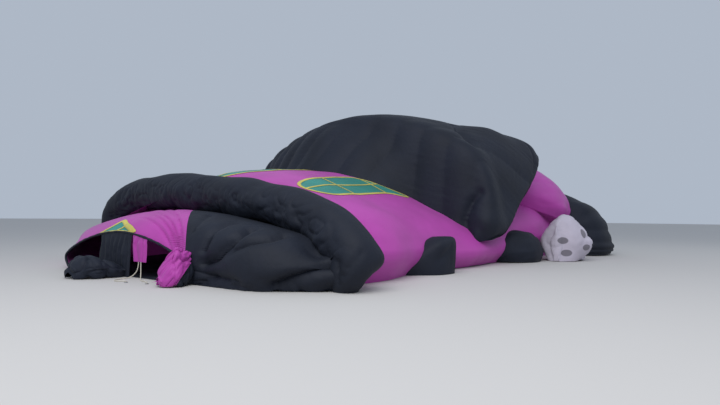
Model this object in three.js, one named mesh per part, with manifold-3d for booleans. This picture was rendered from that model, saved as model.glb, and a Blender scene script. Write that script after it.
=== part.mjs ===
// A special-shape hot air balloon, laid on its side on a field and half filled with cold air, with its mouth open.
// It is an assembly of sewn fabric panels: a mouth cone, a rolled brim, a pink body with windows, a large black
// hood, a black crown with its parachute vent, and small lobes, feet and a ball that hang on the sides.
// Millimetres. X runs from the mouth to the crown, Y from the near side to the far side, Z up from the ground.
import * as THREE from 'three';
import { mergeVertices } from 'three/addons/utils/BufferGeometryUtils.js';
import Module from 'manifold-3d';

const wasm = await Module();
wasm.setup();

// Driving dimensions
const wall = 10; // fabric with its seams, as one shell
const gap = 0.3; // between pieces that lie on each other
const seam = 0.2; // each panel stops this far short of a seam line
const middle = 6600; // Y, in the tables below, of the balloon's plane of symmetry
const origin = [6984, 6400]; // X and Y, in the tables below, of the point on the ground under the middle
const hemRadius = 30; // rolled hem round the mouth
const foldDepth = 40; // folds of a curtain
const frameWidth = 110; // yellow tape round a window
const barWidth = 80; // yellow tape across a window
const tapeThickness = 4;
const lineRadius = 12; // flying lines
const ringOuter = 45; // end ring of a flying line
const ringInner = 28;
const ringThickness = 14;
const ventRadius = 1050; // hole in the crown
const ventHeight = 1450; // its centre above the ground
const ventOverlap = 150; // how far the parachute vent reaches past the hole
const ventTape = 60; // width of the tapes across the hole
const crownRingOuter = 130;
const crownRingInner = 95;

// Colours of the fabrics, from the photograph
const black = { color: 0x23272f, roughness: 0.75, metalness: 0 };
const pink = { color: 0xc24faa, roughness: 0.6, metalness: 0 };
const green = { color: 0x1f8271, roughness: 0.6, metalness: 0 };
const yellow = { color: 0xd2c24a, roughness: 0.6, metalness: 0 };
const white = { color: 0xb9b2bd, roughness: 0.55, metalness: 0 };
const tape = { color: 0xc9c2b4, roughness: 0.85, metalness: 0 };
const alloy = { color: 0xb8babd, roughness: 0.35, metalness: 1 };

// A chamber's cross-section is a ring of eight points. Each table row gives one section, mm:
// x at mid-width and skew, the change of x per mm of y; near and far, the widest Y on each side; low, its underside;
// tuck, how far the underside's edge lies inside the widest point; belt, the height of the widest point;
// inset and shoulder, how far inside and how high the shoulder lies; top, the height of the ridge.
const columns = ['x', 'skew', 'near', 'far', 'low', 'tuck', 'belt', 'inset', 'shoulder', 'top'];
// A row of a main chamber that leaves out far is as wide on the far side of the middle as on the near side.
const coneRows = [
  [-2450, -0.15, 3500, 9450, 0, 200, 450, 1250, 960, 1200],
  [-1940, -0.1, 1500, 10500, 0, 250, 550, 1250, 1200, 1600],
  [-1350, -0.1, 500, 11800, 0, 300, 600, 1300, 1270, 1800],
  [-750, -0.1, -50, 12700, 0, 300, 600, 1300, 1200, 1830],
  [100, -0.03, 150, 13050, 0, 300, 600, 1300, 1150, 1780],
];
const bodyRows = [
  [-250, -0.06, 750, 0, 300, 800, 1300, 1600, 2400],
  [800, 0, 420, 0, 350, 850, 1250, 1850, 3000],
  [2200, 0, 400, 0, 350, 850, 1250, 1950, 3250],
  [3500, 0, 800, 0, 350, 800, 1250, 1950, 3350],
  [4600, 0, 950, 0, 350, 750, 1400, 1850, 3350],
  [5700, 0, 900, 0, 300, 650, 1400, 1800, 3400],
  [7000, 0, 820, 0, 300, 650, 1500, 1800, 3400],
  [8600, 0, 1000, 0, 300, 700, 1500, 1900, 3500],
  [10200, 0, 1050, 0, 300, 900, 1100, 2000, 3700],
  [12000, 0, 900, 0, 300, 1000, 1000, 2200, 4100],
  [13600, 0, 1250, 0, 300, 1100, 1300, 2700, 4200],
  [15300, 0, 1500, 0, 300, 1100, 1300, 2700, 4000],
];
const hoodRows = [
  [4300, -0.1, 4900, 9300, 1900, 200, 2100, 800, 2400, 3050],
  [4900, -0.1, 4500, 9950, 1900, 150, 2350, 1000, 3200, 3950],
  [5550, -0.1, 3900, 10900, 1500, 100, 2200, 1100, 3950, 4900],
  [6150, -0.1, 3000, 11850, 980, 100, 1700, 1150, 4150, 5450],
  [6750, -0.1, 650, 12620, 870, 100, 1600, 1200, 4300, 5800],
  [8000, -0.08, 580, 1050, 100, 1800, 1200, 4500, 6030],
  [9200, -0.06, 620, 1950, 100, 2700, 1200, 4750, 6080],
  [10400, -0.05, 700, 2830, 100, 3500, 1200, 4900, 5980],
  [11150, -0.05, 850, 3550, 100, 4050, 1100, 5000, 5850],
  [11650, -0.05, 1200, 3950, 150, 4300, 1000, 4900, 5600],
  [11950, -0.05, 2200, 4200, 200, 4450, 800, 4700, 5150],
];
const crownRows = [
  [14600, 0, 1100, 0, 250, 600, 1300, 2500, 3850],
  [15300, 0, -200, 0, 250, 600, 1200, 2500, 3950],
  [16400, 0, -450, 0, 250, 600, 1300, 2450, 3950],
  [17100, 0, -100, 0, 300, 600, 1300, 2250, 3750],
  [17500, 0, 900, 0, 400, 600, 1400, 2050, 3400],
  [17700, 0, 2300, 100, 500, 700, 1300, 1900, 3000],
];
// Small chambers on the near side, all but the ball with a twin on the far side.
const aftLobeRows = [
  [11500, -0.1, 2300, 3400, 2300, 200, 2600, 300, 2900, 3100],
  [12200, -0.1, 1500, 3900, 2100, 200, 2650, 400, 3150, 3500],
  [13300, -0.1, 850, 4300, 1750, 250, 2300, 600, 3250, 3900],
  [14300, -0.1, 650, 4400, 1500, 300, 2100, 700, 3200, 4000],
  [14950, -0.1, 900, 4300, 1600, 300, 2100, 600, 3000, 3700],
  [15300, -0.1, 1700, 3900, 1900, 200, 2200, 500, 2800, 3200],
];
const foreFootRows = [
  [3350, 0, 1050, 1900, 0, 40, 120, 80, 180, 230],
  [3800, 0, 700, 1900, 0, 60, 350, 120, 650, 720],
  [4150, 0, 450, 1900, 0, 60, 450, 120, 880, 1000],
  [4700, 0, 400, 1900, 0, 60, 450, 120, 930, 1060],
  [4950, 0, 480, 1900, 0, 60, 450, 150, 900, 1020],
];
const midFootRows = [
  [8900, 0, 900, 2000, 0, 120, 400, 250, 750, 850],
  [9200, 0, 420, 2100, 0, 120, 450, 300, 950, 1080],
  [10100, 0, 260, 2200, 0, 120, 480, 350, 1050, 1200],
  [10900, 0, 420, 2100, 0, 120, 450, 300, 950, 1100],
  [11200, 0, 900, 2000, 0, 120, 400, 250, 750, 850],
];
const ballRows = [
  [11200, -0.3, -250, 450, 0, 150, 700, 200, 1150, 1350],
  [11400, -0.3, -700, 900, 0, 300, 750, 350, 1350, 1650],
  [11950, -0.3, -950, 1000, 0, 350, 750, 400, 1450, 1850],
  [12500, -0.3, -850, 1000, 0, 350, 700, 400, 1350, 1700],
  [12850, -0.3, -500, 700, 0, 250, 600, 300, 1050, 1300],
  [13000, -0.3, -250, 400, 60, 150, 550, 200, 850, 1000],
];
// Heaps of slack fabric at the mouth: the pink one at its near corner, the black one in front of it.
const pinkHeapRows = [
  [-2750, 0, 3350, 3750, 0, 60, 150, 100, 260, 300],
  [-2600, 0, 3150, 3900, 0, 60, 250, 150, 650, 780],
  [-2350, 0, 3100, 3850, 0, 60, 300, 200, 850, 980],
  [-1950, 0, 3300, 3800, 0, 60, 300, 120, 700, 800],
];
const blackHeapRows = [
  [-3702, -0.15, 6200, 6850, 0, 80, 200, 120, 330, 380],
  [-3400, -0.15, 5950, 7100, 0, 100, 280, 250, 560, 640],
  [-3050, -0.15, 5900, 7250, 0, 100, 280, 250, 480, 540],
  [-2560, -0.15, 5950, 7300, 0, 80, 200, 200, 300, 340],
];
// Curtains that hang from the hem of the mouth: rows from the top down, each with x at the middle, near Y, far Y and
// height. They lean in plan as the mouth does, and their first row has no height because it runs along the hem.
const pinkCurtainRows = [[-2505, 5150, 5820], [-2505, 5170, 5810, 850], [-2479, 5230, 5790, 430]];
const blackCurtainRows = [
  [-2505, 5860, 7400], [-2530, 5860, 7380, 800], [-2560, 5850, 7360, 400], [-2570, 5850, 7340, 10],
];

// The brim roll: its centre line over the body from the near foot to the far foot, mm, and its radius, which
// is a share of rollRadius as given in the fourth column.
const rollLine = [
  [30, 160, 0, 0.5], [60, 70, 330, 0.8], [190, 50, 820, 1], [300, 760, 1300, 1], [300, 1625, 1625, 1],
  [300, 2580, 1880, 1], [270, 3780, 2060, 1], [230, 5470, 2250, 1], [200, 7000, 2380, 1], [150, 8800, 2480, 1],
  [100, 10500, 2450, 1], [20, 12000, 2220, 1], [-40, 12900, 1700, 1], [-50, 13200, 900, 1],
  [-70, 13150, 350, 0.8], [-100, 13060, 0, 0.5],
];
const rollRadius = 575;
const rollHub = [0, middle, 0]; // the roll's own section turns about this point
const rollSides = 12;
const rollSteps = 22;

// The black gores of the mouth cone fan out from one corner of the mouth, in plan, to these points under the brim.
const fanCorner = [-2150, 3450];
const fanEnds = [[1200, -1500], [1200, 1300], [900, 3300], [600, 5600], [200, 7200]];

// Windows, in plan: centre, half sizes along and across, turn in degrees, outline and the ends of the bars. The
// outlines and the bars are in shares of the half sizes.
const roundCorners = (count, power = 1) => Array.from({ length: count }, (_, k) => {
  const angle = (2 * Math.PI * k) / count;
  return [Math.cos(angle), Math.sin(angle)].map((share) => Math.sign(share) * Math.abs(share) ** power);
});
const oval = roundCorners(20, 0.75);
const sail = [
  [-1.02, 0], [-0.95, -0.52], [-0.78, -0.8], [-0.4, -0.76], [0, -0.68], [0.48, -0.7], [0.93, -1.08], [0.88, -0.5],
  [0.8, 0.15], [0.66, 0.72], [0.5, 0.98], [0.2, 1], [-0.24, 0.93], [-0.68, 0.8], [-0.95, 0.5],
];
const gusset = [
  [-0.4, -0.7], [-0.05, -0.6], [0.67, 0.01], [1.6, 0.62], [1.23, 0.86], [0.55, 1.07], [-0.07, 1.3], [-0.4, 1.25],
];
const windows = [
  ['window_near', 'body', [3850, 3750], [2500, 900], 15, sail,
    [[-0.25, 0.92, -0.43, -0.74], [0.66, 0.72, 0.5, -0.7], [-1, 0.1, 0.81, 0.1]]],
  ['window_far', 'body', [2600, 6850], [2100, 1050], 6, oval,
    [[-0.1, 1, -0.1, -1], [0.5, 0.94, 0.5, -0.94], [-1, 0, 1, 0]]],
  ['window_mouth', 'cone', [-2381, 6554], [200, 800], 8.5, gusset, [[-0.4, 0.26, 0.7, 0.05]]],
];

// Flying lines: the points that each follows from the pink curtain over the ground, and its end ring's centre.
const lineLow = lineRadius + 3; // height of a line's middle where it lies on the ground
const lines = [
  [[-2324, 5603, 429.9], [-2324, 5603, 340], [-2350, 5612, 205], [-2430, 5625, 90], [-2540, 5635, 30],
    [-2660, 5635, lineLow], [-2790, 5600, lineLow], [-2905, 5530, lineLow], [-2990, 5430, lineLow],
    [-3020, 5310, lineLow], [-2985, 5200, lineLow], [-2900, 5130, lineLow], [-2860, 5030, lineLow],
    [-2900, 4930, lineLow]],
  [[-2336, 5417, 429.9], [-2336, 5417, 350], [-2350, 5380, 200], [-2390, 5290, 85], [-2450, 5160, 28],
    [-2510, 5000, lineLow], [-2550, 4820, lineLow], [-2545, 4640, lineLow], [-2585, 4470, lineLow],
    [-2647, 4320, lineLow]],
];

const perRow = 1; // facets along, for each step between two sections
const perSpan = 3; // facets around, for each step between two ring points
const smallPerSpan = 2; // the same on a small chamber
const ringPoints = 8; // 0 near foot, 1 near belt, 2 near shoulder, 3 ridge, 4 far shoulder, 5 far belt, 6 far foot
const farFoot = 6;
const skyHeight = 9000; // height of the upright prisms that cut the fabric in plan

const rowsOf = (table) => table.map((row) => Object.fromEntries(columns.map((name, i) => [name, row[i]])));

// Smooth value between four neighbours, as a uniform Catmull-Rom curve.
function smooth(a, b, c, d, t) {
  return 0.5 * (2 * b + (c - a) * t + (2 * a - 5 * b + 4 * c - d) * t * t + (3 * b - a - 3 * c + d) * t ** 3);
}

// The section at a fractional row number.
function sectionAt(rows, place) {
  const i = Math.min(Math.floor(place), rows.length - 2);
  const row = (k) => rows[Math.max(0, Math.min(rows.length - 1, k))];
  const value = (name) => smooth(row(i - 1)[name], row(i)[name], row(i + 1)[name], row(i + 2)[name], place - i);
  return Object.fromEntries(columns.map((name) => [name, value(name)]));
}

function ringOf(section) {
  const { near, far, low, tuck, belt, inset, shoulder, top } = section;
  const mid = (near + far) / 2;
  return [
    [near + tuck, low], [near, belt], [near + inset, shoulder], [mid, top],
    [far - inset, shoulder], [far, belt], [far - tuck, low], [mid, low],
  ];
}

// A point of a chamber, from its place along (a row number) and around (a ring point number).
function chamberPoint(rows, along, around) {
  const section = sectionAt(rows, along);
  const ring = ringOf(section);
  const j = Math.floor(around) % ringPoints;
  const t = around - Math.floor(around);
  // The underside is flat, and the curve over the top starts and ends at its two edges.
  const at = (k, axis) => (j < farFoot
    ? ring[Math.max(0, Math.min(farFoot, j + k))][axis]
    : THREE.MathUtils.lerp(ring[j][axis], ring[(j + 1) % ringPoints][axis], k));
  const y = smooth(at(-1, 0), at(0, 0), at(1, 0), at(2, 0), t);
  const z = smooth(at(-1, 1), at(0, 1), at(1, 1), at(2, 1), t);
  const x = section.x + section.skew * (y - (section.near + section.far) / 2);
  return new THREE.Vector3(x, y, Math.max(z, section.low));
}

// A grid of points, open along and closed around, with a normal at each point that faces out.
function gridOf(along, around, pointAt) {
  const points = [];
  for (let i = 0; i <= along; i++) {
    points.push([]);
    for (let j = 0; j < around; j++) points[i].push(pointAt(i, j));
  }
  const at = (i, j) => points[Math.max(0, Math.min(along, i))][(j + around) % around];
  const normals = points.map((ring, i) => ring.map((p, j) => {
    const forward = at(i + 1, j).clone().sub(at(i - 1, j));
    const round = at(i, j + 1).clone().sub(at(i, j - 1));
    return round.cross(forward).normalize();
  }));
  const centre = new THREE.Vector3();
  const half = Math.round(along / 2);
  points[half].forEach((p) => centre.addScaledVector(p, 1 / around));
  const outward = points[half].reduce((sum, p, j) => sum + normals[half][j].dot(p.clone().sub(centre)), 0);
  if (outward < 0) normals.flat().forEach((n) => n.negate());
  return { along, around, points, normals, flip: outward < 0 };
}

const chamberGrid = (table, rowSteps = perRow, spanSteps = perSpan) => {
  const rows = rowsOf(table);
  return gridOf((rows.length - 1) * rowSteps, ringPoints * spanSteps,
    (i, j) => chamberPoint(rows, i / rowSteps, j / spanSteps));
};
const wide = (table) => chamberGrid(table.map((row) => (row.length === columns.length
  ? row
  : [...row.slice(0, 3), 2 * middle - row[2], ...row.slice(3)])));
const small = (table) => chamberGrid(table, 1, smallPerSpan);

function solidOf(vertices, triangles, flip) {
  const turned = flip ? triangles.map(([a, b, c]) => [a, c, b]) : triangles;
  const vertProperties = new Float32Array(vertices.flatMap((v) => v.toArray()));
  return new wasm.Manifold(new wasm.Mesh({ numProp: 3, vertProperties, triVerts: new Uint32Array(turned.flat()) }));
}

// A solid from a three.js geometry.
function solidFrom(geometry) {
  geometry.deleteAttribute('normal');
  geometry.deleteAttribute('uv');
  const merged = mergeVertices(geometry, 1e-3);
  return new wasm.Manifold(new wasm.Mesh({
    numProp: 3,
    vertProperties: new Float32Array(merged.attributes.position.array),
    triVerts: new Uint32Array(merged.index.array),
  }));
}

// A point of the wall, that far out along its normal, and never below the ground.
function pushed(grid, i, j, distance) {
  const p = grid.points[i][j].clone().addScaledVector(grid.normals[i][j], distance);
  p.z = Math.max(p.z, 0);
  return p;
}

// The whole volume of a chamber, grown by a distance and sunk into the ground, with its two ends closed.
function volumeOf(grid, grow, depth) {
  const { along, around } = grid;
  const vertices = [];
  for (let i = 0; i <= along; i++) {
    const out = i === 0 ? 1 : i === along ? -1 : 0;
    for (let j = 0; j < around; j++) {
      const p = pushed(grid, i, j, grow);
      if (out) p.addScaledVector(grid.points[i + out][j].clone().sub(grid.points[i][j]).normalize(), -grow);
      if (p.z < 1) p.z = -depth;
      vertices.push(p);
    }
  }
  const index = (i, j) => i * around + (j % around);
  const triangles = [];
  for (let i = 0; i < along; i++) {
    for (let j = 0; j < around; j++) {
      triangles.push([index(i, j), index(i, j + 1), index(i + 1, j)]);
      triangles.push([index(i, j + 1), index(i + 1, j + 1), index(i + 1, j)]);
    }
  }
  for (const [i, step] of [[0, 1], [along, -1]]) {
    const centre = new THREE.Vector3();
    for (let j = 0; j < around; j++) centre.addScaledVector(vertices[index(i, j)], 1 / around);
    vertices.push(centre);
    for (let j = 0; j < around; j++) {
      const rim = step > 0 ? [index(i, j + 1), index(i, j)] : [index(i, j), index(i, j + 1)];
      triangles.push([vertices.length - 1, ...rim]);
    }
  }
  return solidOf(vertices, triangles, grid.flip);
}

// One panel of a chamber's wall, between two grid lines each way.
function panelOf(grid, i0, i1, j0, j1, thickness = wall, lift = 0) {
  const rows = i1 - i0 + 1;
  const cols = j1 - j0 + 1;
  const at = (i, j) => [i0 + i, (j0 + j + grid.around) % grid.around];
  const place = (i, j, distance) => {
    const p = pushed(grid, ...at(i, j), distance);
    const inner = [Math.min(Math.max(i, 1), rows - 2), Math.min(Math.max(j, 1), cols - 2)];
    for (const [a, b] of [[inner[0], j], [i, inner[1]]]) {
      if (a === i && b === j) continue;
      const q = pushed(grid, ...at(a, b), distance);
      p.addScaledVector(q.sub(p).normalize(), seam);
    }
    return p;
  };
  const vertices = [];
  for (const distance of [lift, lift - thickness]) {
    for (let i = 0; i < rows; i++) for (let j = 0; j < cols; j++) vertices.push(place(i, j, distance));
  }
  const index = (side, i, j) => side * rows * cols + i * cols + j;
  const triangles = [];
  const quad = (a, b, c, d) => triangles.push([a, b, d], [b, c, d]);
  for (let i = 0; i < rows - 1; i++) {
    for (let j = 0; j < cols - 1; j++) {
      quad(index(0, i, j), index(0, i, j + 1), index(0, i + 1, j + 1), index(0, i + 1, j));
      quad(index(1, i, j), index(1, i + 1, j), index(1, i + 1, j + 1), index(1, i, j + 1));
    }
  }
  for (let j = 0; j < cols - 1; j++) {
    quad(index(0, 0, j), index(1, 0, j), index(1, 0, j + 1), index(0, 0, j + 1));
    quad(index(0, rows - 1, j), index(0, rows - 1, j + 1), index(1, rows - 1, j + 1), index(1, rows - 1, j));
  }
  for (let i = 0; i < rows - 1; i++) {
    quad(index(0, i, 0), index(0, i + 1, 0), index(1, i + 1, 0), index(1, i, 0));
    quad(index(0, i, cols - 1), index(1, i, cols - 1), index(1, i + 1, cols - 1), index(0, i + 1, cols - 1));
  }
  return solidOf(vertices, triangles, grid.flip);
}

// The wall of a stretch of a chamber all the way round, with an end closed where asked.
function sleeveOf(grid, i0, i1, closeStart, closeEnd) {
  const { around } = grid;
  const rows = i1 - i0 + 1;
  const vertices = [];
  for (const distance of [0, -wall]) {
    for (let i = 0; i < rows; i++) {
      for (let j = 0; j < around; j++) {
        const p = pushed(grid, i0 + i, j, distance);
        const open = (i === 0 && !closeStart) ? 1 : (i === rows - 1 && !closeEnd) ? -1 : 0;
        if (open) p.addScaledVector(pushed(grid, i0 + i + open, j, distance).sub(p).normalize(), seam);
        vertices.push(p);
      }
    }
  }
  const index = (side, i, j) => (side * rows + i) * around + ((j + around) % around);
  const triangles = [];
  const quad = (a, b, c, d) => triangles.push([a, b, d], [b, c, d]);
  for (let i = 0; i < rows - 1; i++) {
    for (let j = 0; j < around; j++) {
      quad(index(0, i, j), index(0, i, j + 1), index(0, i + 1, j + 1), index(0, i + 1, j));
      quad(index(1, i, j), index(1, i + 1, j), index(1, i + 1, j + 1), index(1, i, j + 1));
    }
  }
  for (const [i, closed, step] of [[0, closeStart, 1], [rows - 1, closeEnd, -1]]) {
    if (!closed) {
      for (let j = 0; j < around; j++) {
        const rim = [index(0, i, j), index(1, i, j), index(1, i, j + 1), index(0, i, j + 1)];
        quad(...(step > 0 ? rim : [rim[0], rim[3], rim[2], rim[1]]));
      }
      continue;
    }
    const ring = grid.points[i0 + i];
    const centre = new THREE.Vector3();
    ring.forEach((p) => centre.addScaledVector(p, 1 / around));
    const third = Math.round(around / 3);
    const inward = ring[third].clone().sub(ring[0]).cross(ring[2 * third].clone().sub(ring[0])).normalize();
    if (inward.dot(grid.points[i0 + i + step][0].clone().sub(ring[0])) < 0) inward.negate();
    for (const side of [0, 1]) {
      ring.forEach((p, j) => {
        const vertex = vertices[index(side, i, j)];
        if (!side) vertex.copy(p);
        else vertex.lerpVectors(p, centre, wall / p.distanceTo(centre)).addScaledVector(inward, wall);
      });
      vertices.push(centre.clone().addScaledVector(inward, side * wall));
      for (let j = 0; j < around; j++) {
        const rim = [index(side, i, j), index(side, i, j + 1)];
        if ((step > 0) !== (side === 1)) rim.reverse();
        triangles.push([vertices.length - 1, ...rim]);
      }
    }
  }
  return solidOf(vertices, triangles, grid.flip);
}

const mirrored = (table) => table.map((row) => {
  const [x, skew, near, far, ...heights] = row;
  return [x, -skew, 2 * middle - far, 2 * middle - near, ...heights];
});

function rollGrid() {
  const knots = rollLine.map(([x, y, z]) => new THREE.Vector3(x, y, z));
  const line = new THREE.CatmullRomCurve3(knots, false, 'catmullrom', 0.5);
  const hub = new THREE.Vector3(...rollHub);
  const up = new THREE.Vector3(0, 0, 1);
  return gridOf(rollSteps, rollSides, (i, j) => {
    const place = line.getUtoTmapping(i / rollSteps);
    const centre = line.getPoint(place);
    const tangent = i % rollSteps ? line.getTangent(place) : up;
    const row = place * (rollLine.length - 1);
    const shares = [0, 1].map((k) => rollLine[Math.min(Math.floor(row) + k, rollLine.length - 1)][3]);
    const radius = rollRadius * THREE.MathUtils.lerp(...shares, row - Math.floor(row));
    const side = new THREE.Vector3().crossVectors(i === rollSteps ? up.clone().negate() : tangent,
      centre.clone().sub(hub)).normalize();
    const out = side.clone().cross(i === rollSteps ? up.clone().negate() : tangent).normalize();
    const angle = (2 * Math.PI * j) / rollSides;
    return centre.addScaledVector(out, radius * Math.cos(angle)).addScaledVector(side, radius * Math.sin(angle));
  });
}

const chambers = {
  cone: wide(coneRows),
  body: wide(bodyRows),
  hood: wide(hoodRows),
  crown: wide(crownRows),
  brim: rollGrid(),
  near_lobe: small(aftLobeRows),
  far_lobe: small(mirrored(aftLobeRows)),
  near_fore_foot: small(foreFootRows),
  far_fore_foot: small(mirrored(foreFootRows)),
  near_mid_foot: small(midFootRows),
  far_mid_foot: small(mirrored(midFootRows)),
  ball: small(ballRows),
};
const sunk = 1; // how far the cutting volumes reach into the ground
const grown = Object.fromEntries(
  Object.entries(chambers).map(([name, grid]) => [name, volumeOf(grid, gap, sunk)]));

const balloon = new THREE.Group();
const assembly = new THREE.Group();
assembly.position.set(-origin[0], -origin[1], 0);
balloon.add(assembly);

function addMesh(name, geometry, look) {
  const mesh = new THREE.Mesh(geometry, new THREE.MeshStandardMaterial(look));
  mesh.name = name;
  assembly.add(mesh);
  return mesh;
}

function addSolid(name, solid, look) {
  const { vertProperties, triVerts } = solid.getMesh();
  const geometry = new THREE.BufferGeometry();
  geometry.setAttribute('position', new THREE.BufferAttribute(new Float32Array(vertProperties), 3));
  geometry.setIndex(new THREE.BufferAttribute(new Uint32Array(triVerts), 1));
  geometry.computeVertexNormals();
  addMesh(name, geometry, look);
}

// Cuts a wall by the other chambers. The brim is a whole tube and cuts the others.
function trimmed(chamber, solid) {
  const others = chamber === 'brim' ? [] : Object.keys(grown).filter((other) => other !== chamber);
  return others.reduce((rest, other) => rest.subtract(grown[other]), solid);
}

// Adds a wall's largest piece, since a cut can leave crumbs.
function addWall(name, solid, look) {
  const pieces = solid.decompose().sort((a, b) => b.volume() - a.volume());
  if (!pieces.length) throw new Error(`${name} is empty`);
  addSolid(name, pieces[0], look);
}

// An upright prism over a polygon in plan.
function prism(corners) {
  const outline = new THREE.Shape(corners.map(([x, y]) => new THREE.Vector2(x, y)));
  const geometry = new THREE.ExtrudeGeometry(outline, { depth: skyHeight, bevelEnabled: false });
  return solidFrom(geometry.translate(0, 0, -skyHeight / 4));
}

const cornersOf = ([cx, cy], [a, b], degrees, corners) => corners.map(([u, v]) => {
  const turn = THREE.MathUtils.degToRad(degrees);
  return [cx + u * a * Math.cos(turn) - v * b * Math.sin(turn), cy + u * a * Math.sin(turn) + v * b * Math.cos(turn)];
});

// Windows: the pane takes the place of the wall, and the yellow tapes lie on it.
// An outline with each of its sides moved out.
const widened = (corners, grow) => corners.map(([x, y], k) => {
  const [beforeX, beforeY] = corners.at(k - 1);
  const [afterX, afterY] = corners[(k + 1) % corners.length];
  const before = new THREE.Vector2(y - beforeY, beforeX - x).normalize();
  const after = new THREE.Vector2(afterY - y, x - afterX).normalize();
  const reach = grow / Math.max(1 + before.dot(after), 0.5);
  return [x + (before.x + after.x) * reach, y + (before.y + after.y) * reach];
});
const paneHoles = { body: [], cone: [] };
const panes = [];
// A strip of tape in plan, from one point to another.
function stripOf(from, to, width) {
  const [x, y] = new THREE.Vector2(to[0] - from[0], to[1] - from[1]).setLength(width / 2).toArray();
  return [[from[0] + y, from[1] - x], [to[0] + y, to[1] - x], [to[0] - y, to[1] + x], [from[0] - y, from[1] + x]];
}
for (const [name, chamber, centre, half, degrees, outline, bars] of windows) {
  const cut = (corners) => prism(cornersOf(centre, [1, 1], degrees, corners));
  const sized = outline.map(([u, v]) => [u * half[0], v * half[1]]);
  const knot = ([x, y]) => cut(roundCorners(8).map(([u, v]) => [x + (u * frameWidth) / 2, y + (v * frameWidth) / 2]));
  const frame = sized.flatMap((corner, k) => [
    cut(stripOf(corner, sized[(k + 1) % sized.length], frameWidth)),
    knot(corner),
  ]);
  const crossing = bars.map(([u0, v0, u1, v1]) => {
    const ends = [[u0 * half[0], v0 * half[1]], [u1 * half[0], v1 * half[1]]];
    return cut(stripOf(...ends, barWidth));
  });
  paneHoles[chamber].push(cut(widened(sized, gap)));
  const tapes = [...frame, ...crossing].reduce((sum, piece) => sum.add(piece));
  panes.push({ name, chamber, pane: cut(sized), tapes });
}

// Panels: name, chamber, first and last section, first and last ring point, fabric.
const panels = [
  ['mouth_floor', 'cone', 0, 4, 6, 8, black],
  ['body_near_side', 'body', 0, 4, 0, 2, pink],
  ['body_near_top', 'body', 0, 8, 2, 3, pink],
  ['body_far_top', 'body', 0, 8, 3, 4, pink],
  ['body_far_side', 'body', 0, 4, 4, 6, pink],
  ['body_near_waist', 'body', 4, 8, 0, 2, pink],
  ['body_far_waist', 'body', 4, 8, 4, 6, pink],
  ['body_near_aft', 'body', 8, 11, 0, 2, pink],
  ['body_far_aft', 'body', 8, 11, 4, 6, pink],
  ['body_back', 'body', 8, 11, 2, 4, pink],
  ['body_floor', 'body', 0, 11, 6, 8, black],
  ['hood_front', 'hood', 0, 4, 2, 4, black],
  ['hood_near_flap', 'hood', 0, 9, 8, 10, black],
  ['hood_far_flap', 'hood', 0, 9, 4, 6, black],
  ['hood_back', 'hood', 4, 9, 2, 4, black],
  ['hood_near_underside', 'hood', 1, 9, 7, 8, black],
  ['hood_far_underside', 'hood', 1, 9, 6, 7, black],
  ['crown_near_side', 'crown', 0, 4, 0, 2, black],
  ['crown_top', 'crown', 0, 4, 2, 4, black],
  ['crown_far_side', 'crown', 0, 4, 4, 6, black],
  ['crown_floor', 'crown', 0, 4, 6, 8, black],
];
const span = (ringPoint) => Math.round(ringPoint * perSpan);
for (const [name, chamber, i0, i1, j0, j1, look] of panels) {
  let solid = panelOf(chambers[chamber], i0 * perRow, i1 * perRow, span(j0), span(j1));
  solid = trimmed(chamber, solid);
  for (const hole of (j0 < farFoot && paneHoles[chamber]) || []) solid = solid.subtract(hole);
  addWall(name, solid, look);
}

// The mouth cone's upper side, cut in plan into a fan of black gores and the pink stem beyond the last of them.
const coneTop = trimmed('cone', panelOf(chambers.cone, 0, 4 * perRow, 0, span(6)));
const fanPoint = (k, aside) => {
  const [x, y] = fanEnds[k];
  const direction = new THREE.Vector2(x - fanCorner[0], y - fanCorner[1]).normalize();
  return [x - direction.y * aside, y + direction.x * aside];
};
// Corners of these cuts beyond the cone: before the mouth, under the brim, and past the near and the far side.
const [fore, aft, nearer, farther] = [-6000, 1200, -3000, 14000];
const cornerX = fanCorner[0];
for (let k = 0; k + 1 < fanEnds.length; k++) {
  const edge = fanCorner[1] - 2 * seam;
  const corners = k === 0
    ? [[fore, nearer], [aft, nearer], fanPoint(1, -seam), [cornerX, edge], [fore, edge]]
    : [[cornerX + 1, fanCorner[1] + 0.5], fanPoint(k, seam), fanPoint(k + 1, -seam)];
  addWall(`mouth_gore_${k + 1}`, coneTop.intersect(prism(corners)), black);
}
const stemEdge = fanCorner[1] + 2 * seam;
const stemEnd = fanPoint(fanEnds.length - 1, seam);
const beyondFan = prism([[fore, stemEdge], [cornerX, stemEdge], stemEnd, [aft / 2, farther], [fore, farther]]);
let stem = coneTop.intersect(beyondFan);
for (const hole of paneHoles.cone) stem = stem.subtract(hole);
addWall('mouth_stem', stem, pink);

// The way of the rolled hem round the mouth, up one side and down the other.
const mouthRing = chambers.cone.points[0].slice(0, span(6) + 1);
const hemPath = (radius) => {
  const path = new THREE.CatmullRomCurve3(mouthRing.map((p) => new THREE.Vector3(p.x - hemRadius - gap, p.y, p.z)));
  const section = new THREE.Shape(roundCorners(6).map(([u, v]) => new THREE.Vector2(u * radius, v * radius)));
  return solidFrom(new THREE.ExtrudeGeometry(section, { steps: 24, bevelEnabled: false, extrudePath: path }));
};
const closeHem = hemPath(hemRadius + gap / Math.cos(Math.PI / 6)); // its section has six sides
const thickHem = hemPath(hemRadius + 3 * gap);
const overHem = thickHem.add(thickHem.translate(0, 0, -3 * gap)); // past the hem's two ends too

for (const { name, chamber, pane, tapes } of panes) {
  const grid = chambers[chamber];
  const whole = (thickness, lift) => panelOf(grid, 0, grid.along, span(0), span(6), thickness, lift);
  const sewn = (thickness, lift, cut) => trimmed(chamber, whole(thickness, lift)).intersect(cut).subtract(overHem);
  addWall(`${name}_pane`, sewn(wall, 0, pane), green);
  addWall(`${name}_lattice`, sewn(tapeThickness, tapeThickness + gap, tapes), yellow);
}

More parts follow.
